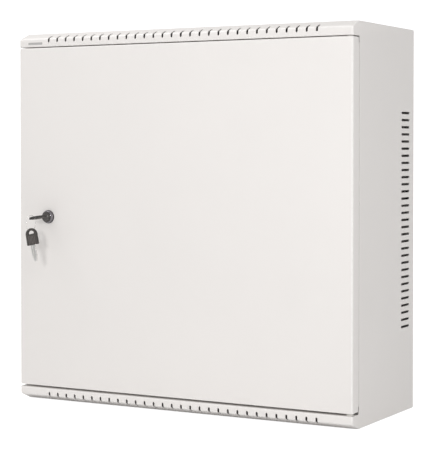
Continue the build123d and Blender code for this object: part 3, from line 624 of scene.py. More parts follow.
def arc(centre, radius, start, end, steps):
    """Points of an arc; angles in degrees."""
    points = []
    for index in range(steps + 1):
        turn = math.radians(start + (end - start) * index / steps)
        points.append((centre[0] + radius * math.cos(turn), centre[1] + radius * math.sin(turn)))
    return points


def rounded_base(half, low, corner, steps):
    """Points of a shape's two lower corners, from left to right."""
    return (arc((-half + corner, low + corner), corner, 180, 270, steps)
            + arc((half - corner, low + corner), corner, 270, 360, steps))


# ================================================================== geometry node trees

def geometry_tree(name, inputs):
    """Starts a geometry tree with named inputs; the geometry input and output come first."""
    tree = bpy.data.node_groups.new(name, "GeometryNodeTree")
    add_socket(tree, "Geometry", "NodeSocketGeometry")
    add_socket(tree, "Geometry", "NodeSocketGeometry", output=True)
    for socket_name, kind, default in inputs:
        add_socket(tree, socket_name, kind, default)
    writer = NodeWriter(tree)
    return tree, writer, writer.add("NodeGroupInput"), writer.add("NodeGroupOutput")


def close_tree(w, geometry, material, result):
    """Ends a tree in Realize Instances and Set Material."""
    realised = w.add("GeometryNodeRealizeInstances", {"Geometry": geometry})
    coloured = w.add("GeometryNodeSetMaterial", {"Geometry": realised.outputs[0], "Material": material})
    w.link(coloured.outputs[0], result.inputs["Geometry"])


def punch_tree():
    """Cuts a row of round-ended openings through a sheet."""
    tree, w, given, result = geometry_tree("Punch row", [
        ("Count", COUNT, 1), ("Step", VECTOR, (0.0, 0.0, 0.0)),
        ("Start", VECTOR, (0.0, 0.0, 0.0)), ("Turn", VECTOR, (0.0, 0.0, 0.0)),
        ("Length", FLOAT, 0.01), ("Width", FLOAT, 0.003), ("Corner", FLOAT, 0.0015), ("Reach", FLOAT, 0.01),
        ("Material", MATERIAL, None),
    ])
    line = w.add("GeometryNodeMeshLine", {
        "Count": given.outputs["Count"], "Start Location": given.outputs["Start"],
        "Offset": given.outputs["Step"],
    }, mode="OFFSET")
    outline = w.add("GeometryNodeCurvePrimitiveQuadrilateral", {
        "Width": given.outputs["Length"], "Height": given.outputs["Width"],
    })
    rounded = w.add("GeometryNodeFilletCurve", {
        "Curve": outline.outputs[0], "Count": 5, "Radius": given.outputs["Corner"], "Limit Radius": True,
    }, mode="POLY")
    face = w.add("GeometryNodeFillCurve", {"Curve": rounded.outputs[0]}, mode="NGONS")
    pushed = w.add("GeometryNodeExtrudeMesh", {
        "Mesh": face.outputs[0], "Offset Scale": given.outputs["Reach"], "Individual": False,
    })
    base = w.add("GeometryNodeFlipFaces", {"Mesh": face.outputs[0]})
    joined = w.add("GeometryNodeJoinGeometry")
    w.link(pushed.outputs[0], joined.inputs[0])
    w.link(base.outputs[0], joined.inputs[0])
    welded = w.add("GeometryNodeMergeByDistance", {"Geometry": joined.outputs[0], "Distance": 1e-6})
    shift = w.add("ShaderNodeCombineXYZ", {"Z": w.math("MULTIPLY", given.outputs["Reach"], -0.5)})
    centred = w.add("GeometryNodeTransform", {
        "Geometry": welded.outputs[0], "Translation": shift.outputs[0],
    })
    turn = w.add("FunctionNodeEulerToRotation", {0: given.outputs["Turn"]})
    placed = w.add("GeometryNodeInstanceOnPoints", {
        "Points": line.outputs[0], "Instance": centred.outputs[0], "Rotation": turn.outputs[0],
    })
    cutters = w.add("GeometryNodeRealizeInstances", {"Geometry": placed.outputs[0]})
    cut = w.add("GeometryNodeMeshBoolean", {"Mesh 1": given.outputs["Geometry"]},
                operation="DIFFERENCE", solver="EXACT")
    w.link(cutters.outputs[0], cut.inputs["Mesh 2"])
    close_tree(w, cut.outputs[0], given.outputs["Material"], result)
    return tree


def coil_tree():
    """A wire wound round the Z axis with a given number of turns."""
    tree, w, given, result = geometry_tree("Wound wire", [
        ("Turns", FLOAT, 2.0), ("Radius", FLOAT, 0.01), ("Height", FLOAT, 0.001), ("Wire", FLOAT, 0.0005),
        ("Steps", COUNT, 48), ("Material", MATERIAL, None),
    ])
    path = w.add("GeometryNodeCurveSpiral", {
        "Resolution": given.outputs["Steps"], "Rotations": given.outputs["Turns"],
        "Start Radius": given.outputs["Radius"], "End Radius": given.outputs["Radius"],
        "Height": given.outputs["Height"],
    })
    section = w.add("GeometryNodeCurvePrimitiveCircle", {"Resolution": 12, "Radius": given.outputs["Wire"]})
    wire = w.add("GeometryNodeCurveToMesh", {
        "Curve": path.outputs[0], "Profile Curve": section.outputs[0], "Fill Caps": True,
    })
    close_tree(w, wire.outputs[0], given.outputs["Material"], result)
    return tree


def scatter_tree():
    """Sets one fastener on each point, its axis along the point's aim, turned by a fixed random amount."""
    tree, w, given, result = geometry_tree("Set fasteners", [
        ("Fastener", "NodeSocketObject", None), ("Seed", COUNT, 7),
        ("Material", MATERIAL, None),
    ])
    source = w.add("GeometryNodeObjectInfo", {"Object": given.outputs["Fastener"], "As Instance": True})
    aim = w.add("GeometryNodeInputNamedAttribute", {"Name": "aim"}, data_type="FLOAT_VECTOR")
    aligned = w.add("FunctionNodeAlignRotationToVector", {"Vector": aim.outputs[0]}, axis="Z")
    spin = w.add("FunctionNodeRandomValue", {"Seed": given.outputs["Seed"]}, data_type="FLOAT")
    for socket in spin.inputs:
        if socket.enabled and socket.name == "Max":
            socket.default_value = 2 * math.pi
    about = w.add("ShaderNodeCombineXYZ")
    active = [socket for socket in spin.outputs if socket.enabled][0]
    w.link(active, about.inputs["Z"])
    local = w.add("FunctionNodeEulerToRotation", {0: about.outputs[0]})
    turned = w.add("FunctionNodeRotateRotation", {
        "Rotation": aligned.outputs[0], "Rotate By": local.outputs[0],
    }, rotation_space="LOCAL")
    placed = w.add("GeometryNodeInstanceOnPoints", {
        "Points": given.outputs["Geometry"], "Instance": source.outputs["Geometry"],
        "Rotation": turned.outputs[0],
    })
    close_tree(w, placed.outputs[0], given.outputs["Material"], result)
    return tree


def rib_tree():
    """A row of round-topped ribs, side by side along X, each lying along Y."""
    tree, w, given, result = geometry_tree("Rib row", [
        ("Count", COUNT, 5), ("Pitch", FLOAT, 0.002), ("Length", FLOAT, 0.008),
        ("Radius", FLOAT, 0.0006), ("Lift", FLOAT, 0.0015), ("Material", MATERIAL, None),
    ])
    half = w.math("MULTIPLY", given.outputs["Length"], 0.5)
    start = w.add("ShaderNodeCombineXYZ", {"Y": w.math("MULTIPLY", half, -1.0)})
    end = w.add("ShaderNodeCombineXYZ", {"Y": half})
    path = w.add("GeometryNodeCurvePrimitiveLine", {"Start": start.outputs[0], "End": end.outputs[0]})
    section = w.add("GeometryNodeCurvePrimitiveCircle", {"Resolution": 10, "Radius": given.outputs["Radius"]})
    bar = w.add("GeometryNodeCurveToMesh", {
        "Curve": path.outputs[0], "Profile Curve": section.outputs[0], "Fill Caps": True,
    })
    steps = w.math("SUBTRACT", given.outputs["Count"], 1.0)
    span = w.math("MULTIPLY", steps, given.outputs["Pitch"])
    origin = w.add("ShaderNodeCombineXYZ", {"X": w.math("MULTIPLY", span, -0.5), "Z": given.outputs["Lift"]})
    step = w.add("ShaderNodeCombineXYZ", {"X": given.outputs["Pitch"]})
    line = w.add("GeometryNodeMeshLine", {
        "Count": given.outputs["Count"], "Start Location": origin.outputs[0], "Offset": step.outputs[0],
    }, mode="OFFSET")
    placed = w.add("GeometryNodeInstanceOnPoints", {"Points": line.outputs[0], "Instance": bar.outputs[0]})
    close_tree(w, placed.outputs[0], given.outputs["Material"], result)
    return tree


TREE_MAKERS = {
    "Punch row": punch_tree,
    "Wound wire": coil_tree,
    "Set fasteners": scatter_tree,
    "Rib row": rib_tree,
}


def add_tree(obj, name, values):
    """Adds a geometry tree to an object and sets its inputs by their identifiers."""
    tree = bpy.data.node_groups.get(name) or TREE_MAKERS[name]()
    modifier = obj.modifiers.new(name, "NODES")
    modifier.node_group = tree
    identifiers = {
        item.name: item.identifier for item in tree.interface.items_tree if item.in_out == "INPUT"
    }
    for key, value in values.items():
        modifier[identifiers[key]] = value
    return modifier


def grown_piece(name, tree_name, values):
    """A new mesh object that a geometry tree makes from nothing."""
    obj = put_in_scene(name, bpy.data.meshes.new(name))
    add_tree(obj, tree_name, values)
    bake_modifiers(obj)
    return obj


def punch(obj, material, count, start, step, turn, size, corner, reach):
    """Adds one row of punched openings; size is (length, width)."""
    add_tree(obj, "Punch row", {
        "Count": count, "Start": start, "Step": step, "Turn": turn, "Length": size[0], "Width": size[1],
        "Corner": corner, "Reach": reach, "Material": material,
    })


def drill(obj, material, place, turn, radius, reach):
    """Adds one round hole; its flats are too short to see."""
    punch(obj, material, 1, place, ZERO, turn, (2 * radius, 2 * radius), radius - 0.001 * MM, reach)


def fold_and_thicken(obj, radius, thickness, limit="ANGLE"):
    """Rounds the folds of a thin outer skin and gives it the sheet's thickness inwards."""
    fold = obj.modifiers.new("Folds", "BEVEL")
    fold.width = radius
    fold.segments = 5
    fold.limit_method = limit
    fold.angle_limit = math.radians(12)
    wall = obj.modifiers.new("Wall", "SOLIDIFY")
    wall.thickness = thickness
    wall.offset = -1.0
    wall.use_even_offset = True


# ================================================================== casing

def casing_skin():
    """Outer skin of the casing: top, bottom, both side walls, bands and their returns."""
    sizes = bpy.context.scene.cabinet_sizes
    bm = bmesh.new()
    slope_y = FRONT_Y + sizes.slope_depth
    bend_z = HALF_HEIGHT - sizes.slope_rise
    return_y = FRONT_Y + sizes.return_depth
    inset = HALF_WIDTH - RETURN_INSET
    made = {}

    def vert(x, y, z):
        key = (round(x, 6), round(y, 6), round(z, 6))
        if key not in made:
            made[key] = bm.verts.new((x, y, z))
        return made[key]

    for sign, edge_z in ((1, TOP_EDGE_Z), (-1, BOTTOM_EDGE_Z)):
        high = sign * HALF_HEIGHT
        bend = sign * bend_z
        left, right = -HALF_WIDTH, HALF_WIDTH
        bm.faces.new([vert(left, 0, high), vert(left, slope_y, high), vert(right, slope_y, high),
                      vert(right, 0, high)])
        bm.faces.new([vert(left, slope_y, high), vert(left, FRONT_Y, bend), vert(right, FRONT_Y, bend),
                      vert(right, slope_y, high)])
        bm.faces.new([vert(left, FRONT_Y, bend), vert(left, FRONT_Y, edge_z), vert(-inset, FRONT_Y, edge_z),
                      vert(inset, FRONT_Y, edge_z), vert(right, FRONT_Y, edge_z), vert(right, FRONT_Y, bend)])
        bm.faces.new([vert(-inset, FRONT_Y, edge_z), vert(-inset, return_y, edge_z),
                      vert(inset, return_y, edge_z), vert(inset, FRONT_Y, edge_z)])
    for x in (-HALF_WIDTH, HALF_WIDTH):
        bm.faces.new([
            vert(x, 0, HALF_HEIGHT), vert(x, slope_y, HALF_HEIGHT), vert(x, FRONT_Y, bend_z),
            vert(x, FRONT_Y, TOP_EDGE_Z), vert(x, SIDE_FRONT_Y, TOP_EDGE_Z),
            vert(x, SIDE_FRONT_Y, BOTTOM_EDGE_Z), vert(x, FRONT_Y, BOTTOM_EDGE_Z),
            vert(x, FRONT_Y, -bend_z), vert(x, slope_y, -HALF_HEIGHT), vert(x, 0, -HALF_HEIGHT),
        ])
    bmesh.ops.recalc_face_normals(bm, faces=bm.faces)
    top = max(bm.faces, key=lambda face: face.calc_center_median().z)
    if top.normal.z < 0:
        bmesh.ops.reverse_faces(bm, faces=bm.faces)
    return object_from_bmesh("casing_shell", bm)


def punch_casing(obj, material):
    """Band slots, side vents, cable entries and the hinge pin holes."""
    sizes = bpy.context.scene.cabinet_sizes
    tilt = math.atan2(sizes.slope_rise, sizes.slope_depth)
    bend_z = HALF_HEIGHT - sizes.slope_rise
    low = Vector((0, FRONT_Y, bend_z - sizes.slot_on_face))
    back = Vector((0, FRONT_Y, bend_z)) + sizes.slot_on_slope * Vector((0, math.cos(tilt), math.sin(tilt)))
    chord = back - low
    middle = (low + back) / 2
    lean = math.atan2(chord.z, chord.y)
    first_x = -sizes.slot_pitch * (sizes.slot_count - 1) / 2
    slot = (sizes.slot_width, chord.length + 1.2 * MM)
    for sign in (1, -1):
        punch(obj, material, sizes.slot_count, (first_x, middle.y, sign * middle.z), (sizes.slot_pitch, 0, 0),
              (sign * lean, 0, 0), slot, sizes.slot_width / 2, 9 * MM)
    vent_y = FRONT_Y + sizes.vent_from_front
    vent_z = sizes.vent_lift - sizes.vent_pitch * (sizes.vent_count - 1) / 2
    for sign in (1, -1):
        punch(obj, material, sizes.vent_count, (sign * HALF_WIDTH, vent_y, vent_z), (0, 0, sizes.vent_pitch),
              (0, RIGHT_ANGLE, 0), (sizes.vent_height, sizes.vent_length), sizes.vent_height / 2, 8 * MM)
    entry = (COVER_HIGH.x - COVER_LOW.x - 2 * ENTRY_MARGIN, COVER_HIGH.y - COVER_LOW.y - 2 * ENTRY_MARGIN)
    entry_y = (COVER_HIGH.y + COVER_LOW.y) / 2
    for sign in (1, -1):
        punch(obj, material, 1, (0, entry_y, sign * HALF_HEIGHT), ZERO, ZERO, entry, ENTRY_CORNER, 6 * MM)
    for edge_z in (TOP_EDGE_Z, BOTTOM_EDGE_Z):
        drill(obj, material, (PIVOT_X, PIVOT_Y, edge_z), ZERO, PIN_HOLE_RADIUS, 6 * MM)


class CABINET_OT_casing(bpy.types.Operator):
    """Fold the casing from one skin and punch its slots, vents and entries."""
    bl_idname = "cabinet.fold_casing"
    bl_label = "Casing shell"

    def execute(self, context):
        sizes = context.scene.cabinet_sizes
        material = finish("powder_grey")
        shell = casing_skin()
        fold_and_thicken(shell, sizes.fold_radius, SHEET)
        bake_modifiers(shell)
        punch_casing(shell, material)
        bake_modifiers(shell)
        tidy_mesh(shell)
        mark_edges(shell, AXES, SHEET)
        settle(shell, material, "casing", "powder_grey",
               "top_panel", "bottom_panel", "side_panel_left", "side_panel_right")
        return {"FINISHED"}


# ================================================================== door

def door_skin():
    """Outer skin of the door pan: face, four folded edges, the two inner lips and the corner reliefs."""
    sizes = bpy.context.scene.cabinet_sizes
    bm = bmesh.new()
    x0, x1 = DOOR_LOW.x, DOOR_HIGH.x
    z0, z1 = DOOR_LOW.z, DOOR_HIGH.z
    y0, y1 = DOOR_LOW.y, DOOR_HIGH.y
    trim, taper, relief = DOOR_LIP_TRIM, DOOR_LIP_TAPER, DOOR_RELIEF_WIDTH
    relief_y = y1 - DOOR_RELIEF_DEPTH
    made = {}

    def vert(x, y, z):
        if (x, y, z) not in made:
            made[(x, y, z)] = bm.verts.new((x, y, z))
        return made[(x, y, z)]

    bm.faces.new([vert(x0, y0, z0), vert(x1, y0, z0), vert(x1, y0, z1), vert(x0, y0, z1)])
    for z in (z0, z1):
        bm.faces.new([
            vert(x0, y0, z), vert(x0, relief_y, z), vert(x0 + relief, relief_y, z), vert(x0 + relief, y1, z),
            vert(x1 - relief, y1, z), vert(x1 - relief, relief_y, z), vert(x1, relief_y, z), vert(x1, y0, z),
        ])
    for x, inner_x in ((x0, x0 + sizes.door_lip), (x1, x1 - sizes.door_lip)):
        bm.faces.new([
            vert(x, y0, z0), vert(x, relief_y, z0), vert(x, relief_y, z0 + trim), vert(x, y1, z0 + trim),
            vert(x, y1, z1 - trim), vert(x, relief_y, z1 - trim), vert(x, relief_y, z1), vert(x, y0, z1),
        ])
        bm.faces.new([
            vert(x, y1, z0 + trim), vert(x, y1, z1 - trim), vert(inner_x, y1, z1 - trim - taper),
            vert(inner_x, y1, z0 + trim + taper),
        ])
    bmesh.ops.recalc_face_normals(bm, faces=bm.faces)
    face = min(bm.faces, key=lambda f: f.calc_center_median().y)
    if face.normal.y > 0:
        bmesh.ops.reverse_faces(bm, faces=bm.faces)
    share = bm.edges.layers.float.new("bevel_weight_edge")
    for edge in bm.edges:
        at_rear = all(corner.co.y > relief_y for corner in edge.verts)
        if len(edge.link_faces) == 2:
            edge[share] = DOOR_REAR_RADIUS / sizes.fold_radius if at_rear else 1.0
    return object_from_bmesh("door_sheet", bm)


class CABINET_OT_door(bpy.types.Operator):
    """Fold the door pan and punch its lock and hinge holes."""
    bl_idname = "cabinet.fold_door"
    bl_label = "Door sheet"

    def execute(self, context):
        sizes = context.scene.cabinet_sizes
        material = finish("powder_grey")
        door = door_skin()
        fold_and_thicken(door, sizes.fold_radius, SHEET, "WEIGHT")
        bake_modifiers(door)
        drill(door, material, (LOCK_X, DOOR_LOW.y, LOCK_Z), (RIGHT_ANGLE, 0, 0), LOCK_HOLE_RADIUS, 8 * MM)
        for z in (DOOR_LOW.z, DOOR_HIGH.z):
            drill(door, material, (PIVOT_X, PIVOT_Y, z), ZERO, PIN_HOLE_RADIUS, 6 * MM)
        bake_modifiers(door)
        tidy_mesh(door)
        mark_edges(door, AXES, SHEET)
        settle(door, material, "door", "powder_grey", "door_pan")
        return {"FINISHED"}


# ================================================================== lock

class CABINET_OT_lock(bpy.types.Operator):
    """Turn the lock's head and body and its core with the keyway."""
    bl_idname = "cabinet.turn_lock"
    bl_label = "Lock"

    def execute(self, context):
        self.make_head()
        self.make_core()
        return {"FINISHED"}

    def make_head(self):
        face = LOCK_LOW.y
        front = FRONT_Y
        rear = LOCK_HIGH.y
        bore = ((PLUG_HIGH.x - PLUG_LOW.x) / 2 + 0.05 * MM) / MM
        body = [
            (bore, rear, 0), (8.6, rear, 0), (9.0, rear, -0.5), (9.0, front, 0), (9.5, front, 0),
            (9.8, front, -0.3), (9.8, front, -1.4), (9.7, front, -1.7), (9.45, front, -1.9),
            (9.25, front, -2.0), (8.75, front, -2.02), (8.2, face, 1.25), (bore, face, 1.25), (bore, rear, 0),
        ]
        # The bezel is the head's side wall; it wears the lighter painted-highlight nickel.
        bezel = [
            (9.25, front, -1.98), (8.70, face, 1.0), (8.55, face, 0.55), (8.25, face, 0.20), (7.86, face, 0),
            (7.84, face, 1.2), (8.15, face, 1.2), (8.75, front, -2.0), (9.25, front, -1.98),
        ]
        face_ring = [
            (7.82, face, 0.02), (7.2, face, 0.02), (6.9, face, 0.10), (6.7, face, 0.35), (6.3, face, 0.42),
            (bore + 0.2, face, 0.42), (bore, face, 0.6), (bore, face, 1.2), (7.82, face, 1.2),
            (7.82, face, 0.02),
        ]
        for name, profile, look, nodes in (
            ("lock_head", body, "lock_metal", ("lock_barrel",)),
            ("lock_bezel", bezel, "lock_bezel", ()),
            ("lock_face_ring", face_ring, "lock_face", ()),
        ):
            bm = bmesh.new()
            points = [(radius * MM, plane + behind * MM) for radius, plane, behind in profile]
            lathe(bm, points, (LOCK_X, 0.0, LOCK_Z), 72)
            piece = tidy_mesh(object_from_bmesh(name, bm), 40.0)
            settle(piece, finish(look), "door", "lock_metal", *nodes)

    def make_core(self):
        face_y = PLUG_LOW.y
        radius = (PLUG_HIGH.x - PLUG_LOW.x) / 2
        profile = [
            (0.0, face_y), (radius - 0.5 * MM, face_y), (radius - 0.15 * MM, face_y + 0.12 * MM),
            (radius, face_y + 0.45 * MM), (radius, PLUG_HIGH.y - 0.4 * MM), (radius - 0.4 * MM, PLUG_HIGH.y),
            (0.0, PLUG_HIGH.y),
        ]
        bm = bmesh.new()
        lathe(bm, profile, (LOCK_X, 0.0, LOCK_Z), 48)
        core = tidy_mesh(object_from_bmesh("lock_core_front", bm), 40.0)
        material = finish("lock_face")
        punch(core, material, 1, (LOCK_X, face_y, LOCK_Z), ZERO, (RIGHT_ANGLE, -KEY_TURN, 0),
              KEYWAY, 0.4 * MM, 42 * MM)
        bake_modifiers(core)
        tidy_mesh(core, 40.0)
        settle(core, material, "lock_core", "lock_metal", "lock_plug")


# ================================================================== keys

GRIP_LENGTH = BOW_HIGH.y - BOW_LOW.y
GRIP_WIDTH = 20.0 * MM
GRIP_THICK = 3.2 * MM
GRIP_SHOULDER = 16.5 * MM
GRIP_RIM = 3.3 * MM
GRIP_TAPER = 0.3 * MM
GRIP_HOLE = (10.0 * MM, 5.0 * MM)
GRIP_HOLE_ARCH = 2.8 * MM
SHANK_LENGTH = 24.0 * MM
SHANK_WIDTH = 8.0 * MM
SHANK_THICK = 2.0 * MM
SHANK_CUTS = (0.9, 1.6, 0.7, 1.2)
KEYWAY = (8.4 * MM, 2.4 * MM)
RIBS = {"Count": 5, "Pitch": 2.5 * MM, "Length": 13.0 * MM, "Radius": 0.70 * MM}
RIBS_FROM_BASE = 7.0 * MM
KEY_TURN = math.radians(12.0)
SPARE_TILT = math.radians(11.5)
RING_WIRE = 0.45 * MM


def arch(half, low, top, steps):
    """Points of the arc that springs from (half, low) over (0, top) to (-half, low)."""
    rise = top - low
    radius = (half * half + rise * rise) / (2 * rise)
    centre = (0.0, top - radius)
    start = math.degrees(math.atan2(low - centre[1], half))
    return arc(centre, radius, start, 180.0 - start, steps)


def grip_outlines():
    """Rim and hole of a key grip, from its base at y 0 to its arched end."""
    half = GRIP_WIDTH / 2
    rim = rounded_base(half, 0.0, 1.1 * MM, 5)
    rim += arch(half - GRIP_TAPER, GRIP_SHOULDER, GRIP_LENGTH, 28)
    hole_half = GRIP_HOLE[0] / 2
    hole_top = GRIP_LENGTH - GRIP_RIM
    hole = rounded_base(hole_half, hole_top - GRIP_HOLE[1], 0.8 * MM, 4)
    hole += arch(hole_half, hole_top - GRIP_HOLE_ARCH, hole_top, 18)
    return [rim, hole]


def shank_outline():
    """Outline of a key shank with its cuts, from the grip at y 0 down to the tip."""
    half = SHANK_WIDTH / 2
    tip = -SHANK_LENGTH
    points = [(-half, 0.0), (-half, -15.0 * MM), (-2.1 * MM, tip + 0.5 * MM), (-1.5 * MM, tip)]
    points += [(1.5 * MM, tip), (2.1 * MM, tip + 0.5 * MM), (half - 0.3 * MM, -15.6 * MM)]
    place = -14.8 * MM
    for depth in reversed(SHANK_CUTS):
        points.append((half - 0.2 * MM, place))
        points.append((half - depth * MM, place + 1.1 * MM))
        points.append((half - depth * MM, place + 2.0 * MM))
        place += 3.1 * MM
    points += [(half, place), (half, 0.0)]
    return points


def make_key(prefix, body, matrix, nodes):
    """Grip with its ribs and steel shank of one key."""
    grip = flat_plate(f"{prefix}_grip", grip_outlines(), GRIP_THICK, 0.55 * MM, matrix)
    mark_edges(grip, [matrix.to_3x3() @ AXES[2]], GRIP_THICK)
    settle(grip, finish("bow_plastic"), body, "bow_plastic", nodes[0])
    for name, sign in (("front", 1), ("rear", -1)):
        ribs = grown_piece(f"{prefix}_ribs_{name}", "Rib row", {
            **RIBS, "Lift": sign * (GRIP_THICK / 2 - 0.25 * MM), "Material": finish("grip_rib"),
        })
        ribs.data.transform(Matrix.Translation((0, RIBS_FROM_BASE, 0)))
        ribs.data.transform(matrix)
        tidy_mesh(ribs, 50.0)
        settle(ribs, finish("grip_rib"), body, "bow_plastic")
    shank = flat_plate(f"{prefix}_shank", [shank_outline()], SHANK_THICK, 0.18 * MM, matrix)
    for sign in (1, -1):
        place = matrix @ Vector((-0.8 * MM * sign, -9.5 * MM, sign * SHANK_THICK / 2))
        punch(shank, finish("key_steel"), 1, tuple(place), ZERO, tuple(matrix.to_euler()),
              (1.5 * MM, 17.0 * MM), 0.7 * MM, 1.1 * MM)
    bake_modifiers(shank)
    tidy_mesh(shank)
    settle(shank, finish("key_steel"), body, "key_steel", nodes[1])


class CABINET_OT_keys(bpy.types.Operator):
    """Mould and cut both keys: the one in the lock and the spare on the ring."""
    bl_idname = "cabinet.cut_keys"
    bl_label = "Keys"

    def execute(self, context):
        middle = (BOW_LOW + BOW_HIGH) / 2
        turned = (math.cos(KEY_TURN), 0, math.sin(KEY_TURN))
        in_lock = plane_matrix((middle.x, BOW_HIGH.y, middle.z), turned, (0, -1, 0))
        make_key("key", "key", in_lock, ("key_bow", "key_blade"))
        up = Vector((-math.sin(SPARE_TILT), 0, math.cos(SPARE_TILT)))
        across = Vector((math.cos(SPARE_TILT), 0, math.sin(SPARE_TILT)))
        ring_radius = (RING_HIGH.z - RING_LOW.z) / 2 - RING_WIRE
        low_wire = RING_MIDDLE - Vector((0, 0, ring_radius))
        base = low_wire - up * (GRIP_LENGTH - GRIP_RIM - RING_WIRE - 0.3 * MM)
        hanging = plane_matrix(base, across, up)
        make_key("spare_key", "spare_key", hanging, ("spare_key_bow", "spare_key_blade"))
        return {"FINISHED"}


class CABINET_OT_ring(bpy.types.Operator):
    """Wind the split ring that holds both keys."""
    bl_idname = "cabinet.wind_ring"
    bl_label = "Key ring"

    def execute(self, context):
        wire = 0.26 * MM
        outer = (RING_HIGH.z - RING_LOW.z) / 2
        half = RING_WIRE - wire
        ring = grown_piece("split_ring", "Wound wire", {
            "Turns": 1.96, "Radius": outer - RING_WIRE, "Height": 2 * half, "Wire": wire,
            "Steps": 72, "Material": finish("spring_steel"),
        })
        ring.data.transform(Matrix.Translation((0, 0, -half)))
        ring.data.transform(Matrix.Rotation(RIGHT_ANGLE, 4, "Y"))
        ring.data.transform(Matrix.Translation(RING_MIDDLE))
        tidy_mesh(ring, 50.0)
        settle(ring, finish("spring_steel"), "ring", "spring_steel", "key_ring")
        return {"FINISHED"}


# ================================================================== hinge

class CABINET_OT_spring(bpy.types.Operator):
    """Wind the spring of the upper hinge pin."""
    bl_idname = "cabinet.wind_spring"
    bl_label = "Hinge spring"

    def execute(self, context):
        wire = 0.45 * MM
        outer = (SPRING_HIGH.x - SPRING_LOW.x) / 2
        height = SPRING_HIGH.z - SPRING_LOW.z
        spring = grown_piece("pin_spring", "Wound wire", {
            "Turns": 12.0, "Radius": outer - wire, "Height": height - 2 * wire, "Wire": wire,
            "Steps": 32, "Material": finish("spring_steel"),
        })
        spring.data.transform(Matrix.Translation((PIVOT_X, PIVOT_Y, SPRING_LOW.z + wire)))
        tidy_mesh(spring, 50.0)
        settle(spring, finish("spring_steel"), "door", "spring_steel", "hinge_spring")
        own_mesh(spring)
        return {"FINISHED"}


# ================================================================== fasteners

RAIL_SHEET = 1.6 * MM
CAGE_WING = 6.2 * MM
M6_NUT_HEIGHT = 5.0 * MM


def pan_screw(name, head_radius, head_height, shank_radius, shank_length):
    """Pan-head screw along Z, seat at z 0, with a cross recess and turned thread rings."""
    dome = [
        (0.0, head_height), (head_radius * 0.45, head_height * 0.97),
        (head_radius * 0.75, head_height * 0.82),
        (head_radius * 0.93, head_height * 0.55), (head_radius, head_height * 0.25), (head_radius, 0.0),
        (shank_radius, 0.0),
    ]
    pitch = shank_radius * 0.34
    place = 0.0
    while place < shank_length - 2 * pitch:
        dome.append((shank_radius, -place - pitch * 0.1))
        dome.append((shank_radius * 0.86, -place - pitch * 0.5))
        dome.append((shank_radius, -place - pitch * 0.9))
        place += pitch
    dome.append((shank_radius * 0.8, -shank_length))
    dome.append((0.0, -shank_length))
    bm = bmesh.new()
    lathe(bm, dome, ZERO, 24, axis="Z")
    screw = tidy_mesh(object_from_bmesh(name, bm), 35.0)
    for turn in (0.0, RIGHT_ANGLE):
        punch(screw, finish("zinc_steel"), 1, (0, 0, head_height), ZERO, (0, 0, turn),
              (head_radius * 1.1, head_radius * 0.22), head_radius * 0.05, head_height)
    bake_modifiers(screw)
    return tidy_mesh(screw, 35.0)


def hex_nut(name, flats, height, bore):
    """Hexagon nut along Z from z 0, with chamfered corners and a threaded bore."""
    bm = bmesh.new()
    apothem = flats / 2
    corner = apothem / math.cos(math.pi / 6)
    chamfer = height * 0.12
    segments = 48
    rings = []
    stations = [(0.0, True), (chamfer, False), (height - chamfer, False), (height, True)]
    for z, clipped in stations:
        ring = []
        for index in range(segments):
            turn = 2 * math.pi * index / segments
            sector = (turn + math.pi / 6) % (math.pi / 3) - math.pi / 6
            radius = apothem / math.cos(sector)
            if clipped:
                radius = min(radius, apothem * 0.98)
            ring.append(bm.verts.new((radius * math.cos(turn), radius * math.sin(turn), z)))
        rings.append(ring)
    bores = []
    steps = 8
    for index in range(steps * 2 + 1):
        z = height - height * index / (steps * 2)
        radius = bore if index % 2 == 0 else bore * 0.93
        bores.append([
            bm.verts.new((radius * math.cos(2 * math.pi * k / segments),
                          radius * math.sin(2 * math.pi * k / segments), z))
            for k in range(segments)
        ])
    chain = rings + bores + [rings[0]]
    for first, second in zip(chain, chain[1:]):
        for index in range(segments):
            following = (index + 1) % segments
            bm.faces.new((first[index], second[index], second[following], first[following]))
    return tidy_mesh(object_from_bmesh(name, bm), 30.0)


def caged_nut(name):
    """Square nut in its sprung steel cage; the nut's face is at z 0 and the cage hooks in front."""
    bm = bmesh.new()
    half = 4.65 * MM
    nut_half = 5.0 * MM
    sheet = 0.6 * MM

    def block(x0, x1, y0, y1, z0, z1):
        geometry = bmesh.ops.create_cube(bm, size=1.0)
        for vert in geometry["verts"]:
            vert.co.x = x0 if vert.co.x < 0 else x1
            vert.co.y = y0 if vert.co.y < 0 else y1
            vert.co.z = z0 if vert.co.z < 0 else z1

    block(-nut_half, nut_half, -nut_half + 0.4 * MM, nut_half - 0.4 * MM, -5.2 * MM, -0.7 * MM)
    for sign in (-1, 1):
        near, far = sorted((sign * (half - sheet), sign * half))
        block(near, far, -3.4 * MM, 3.4 * MM, -0.8 * MM, 1.6 * MM)
        near, far = sorted((sign * nut_half, sign * (nut_half + sheet)))
        block(near, far, -3.4 * MM, 3.4 * MM, -5.5 * MM, -0.1 * MM)
        near, far = sorted((sign * (half - sheet), sign * CAGE_WING))
        block(near, far, -3.4 * MM, 3.4 * MM, -0.7 * MM, -0.1 * MM)
    cage = object_from_bmesh(name, bm)
    edge = cage.modifiers.new("Edges", "BEVEL")
    edge.width = 0.15 * MM
    edge.segments = 2
    bake_modifiers(cage)
    drill(cage, finish("zinc_steel"), (0, 0, -3 * MM), ZERO, 2.55 * MM, 8 * MM)
    bake_modifiers(cage)
    return tidy_mesh(cage, 30.0)


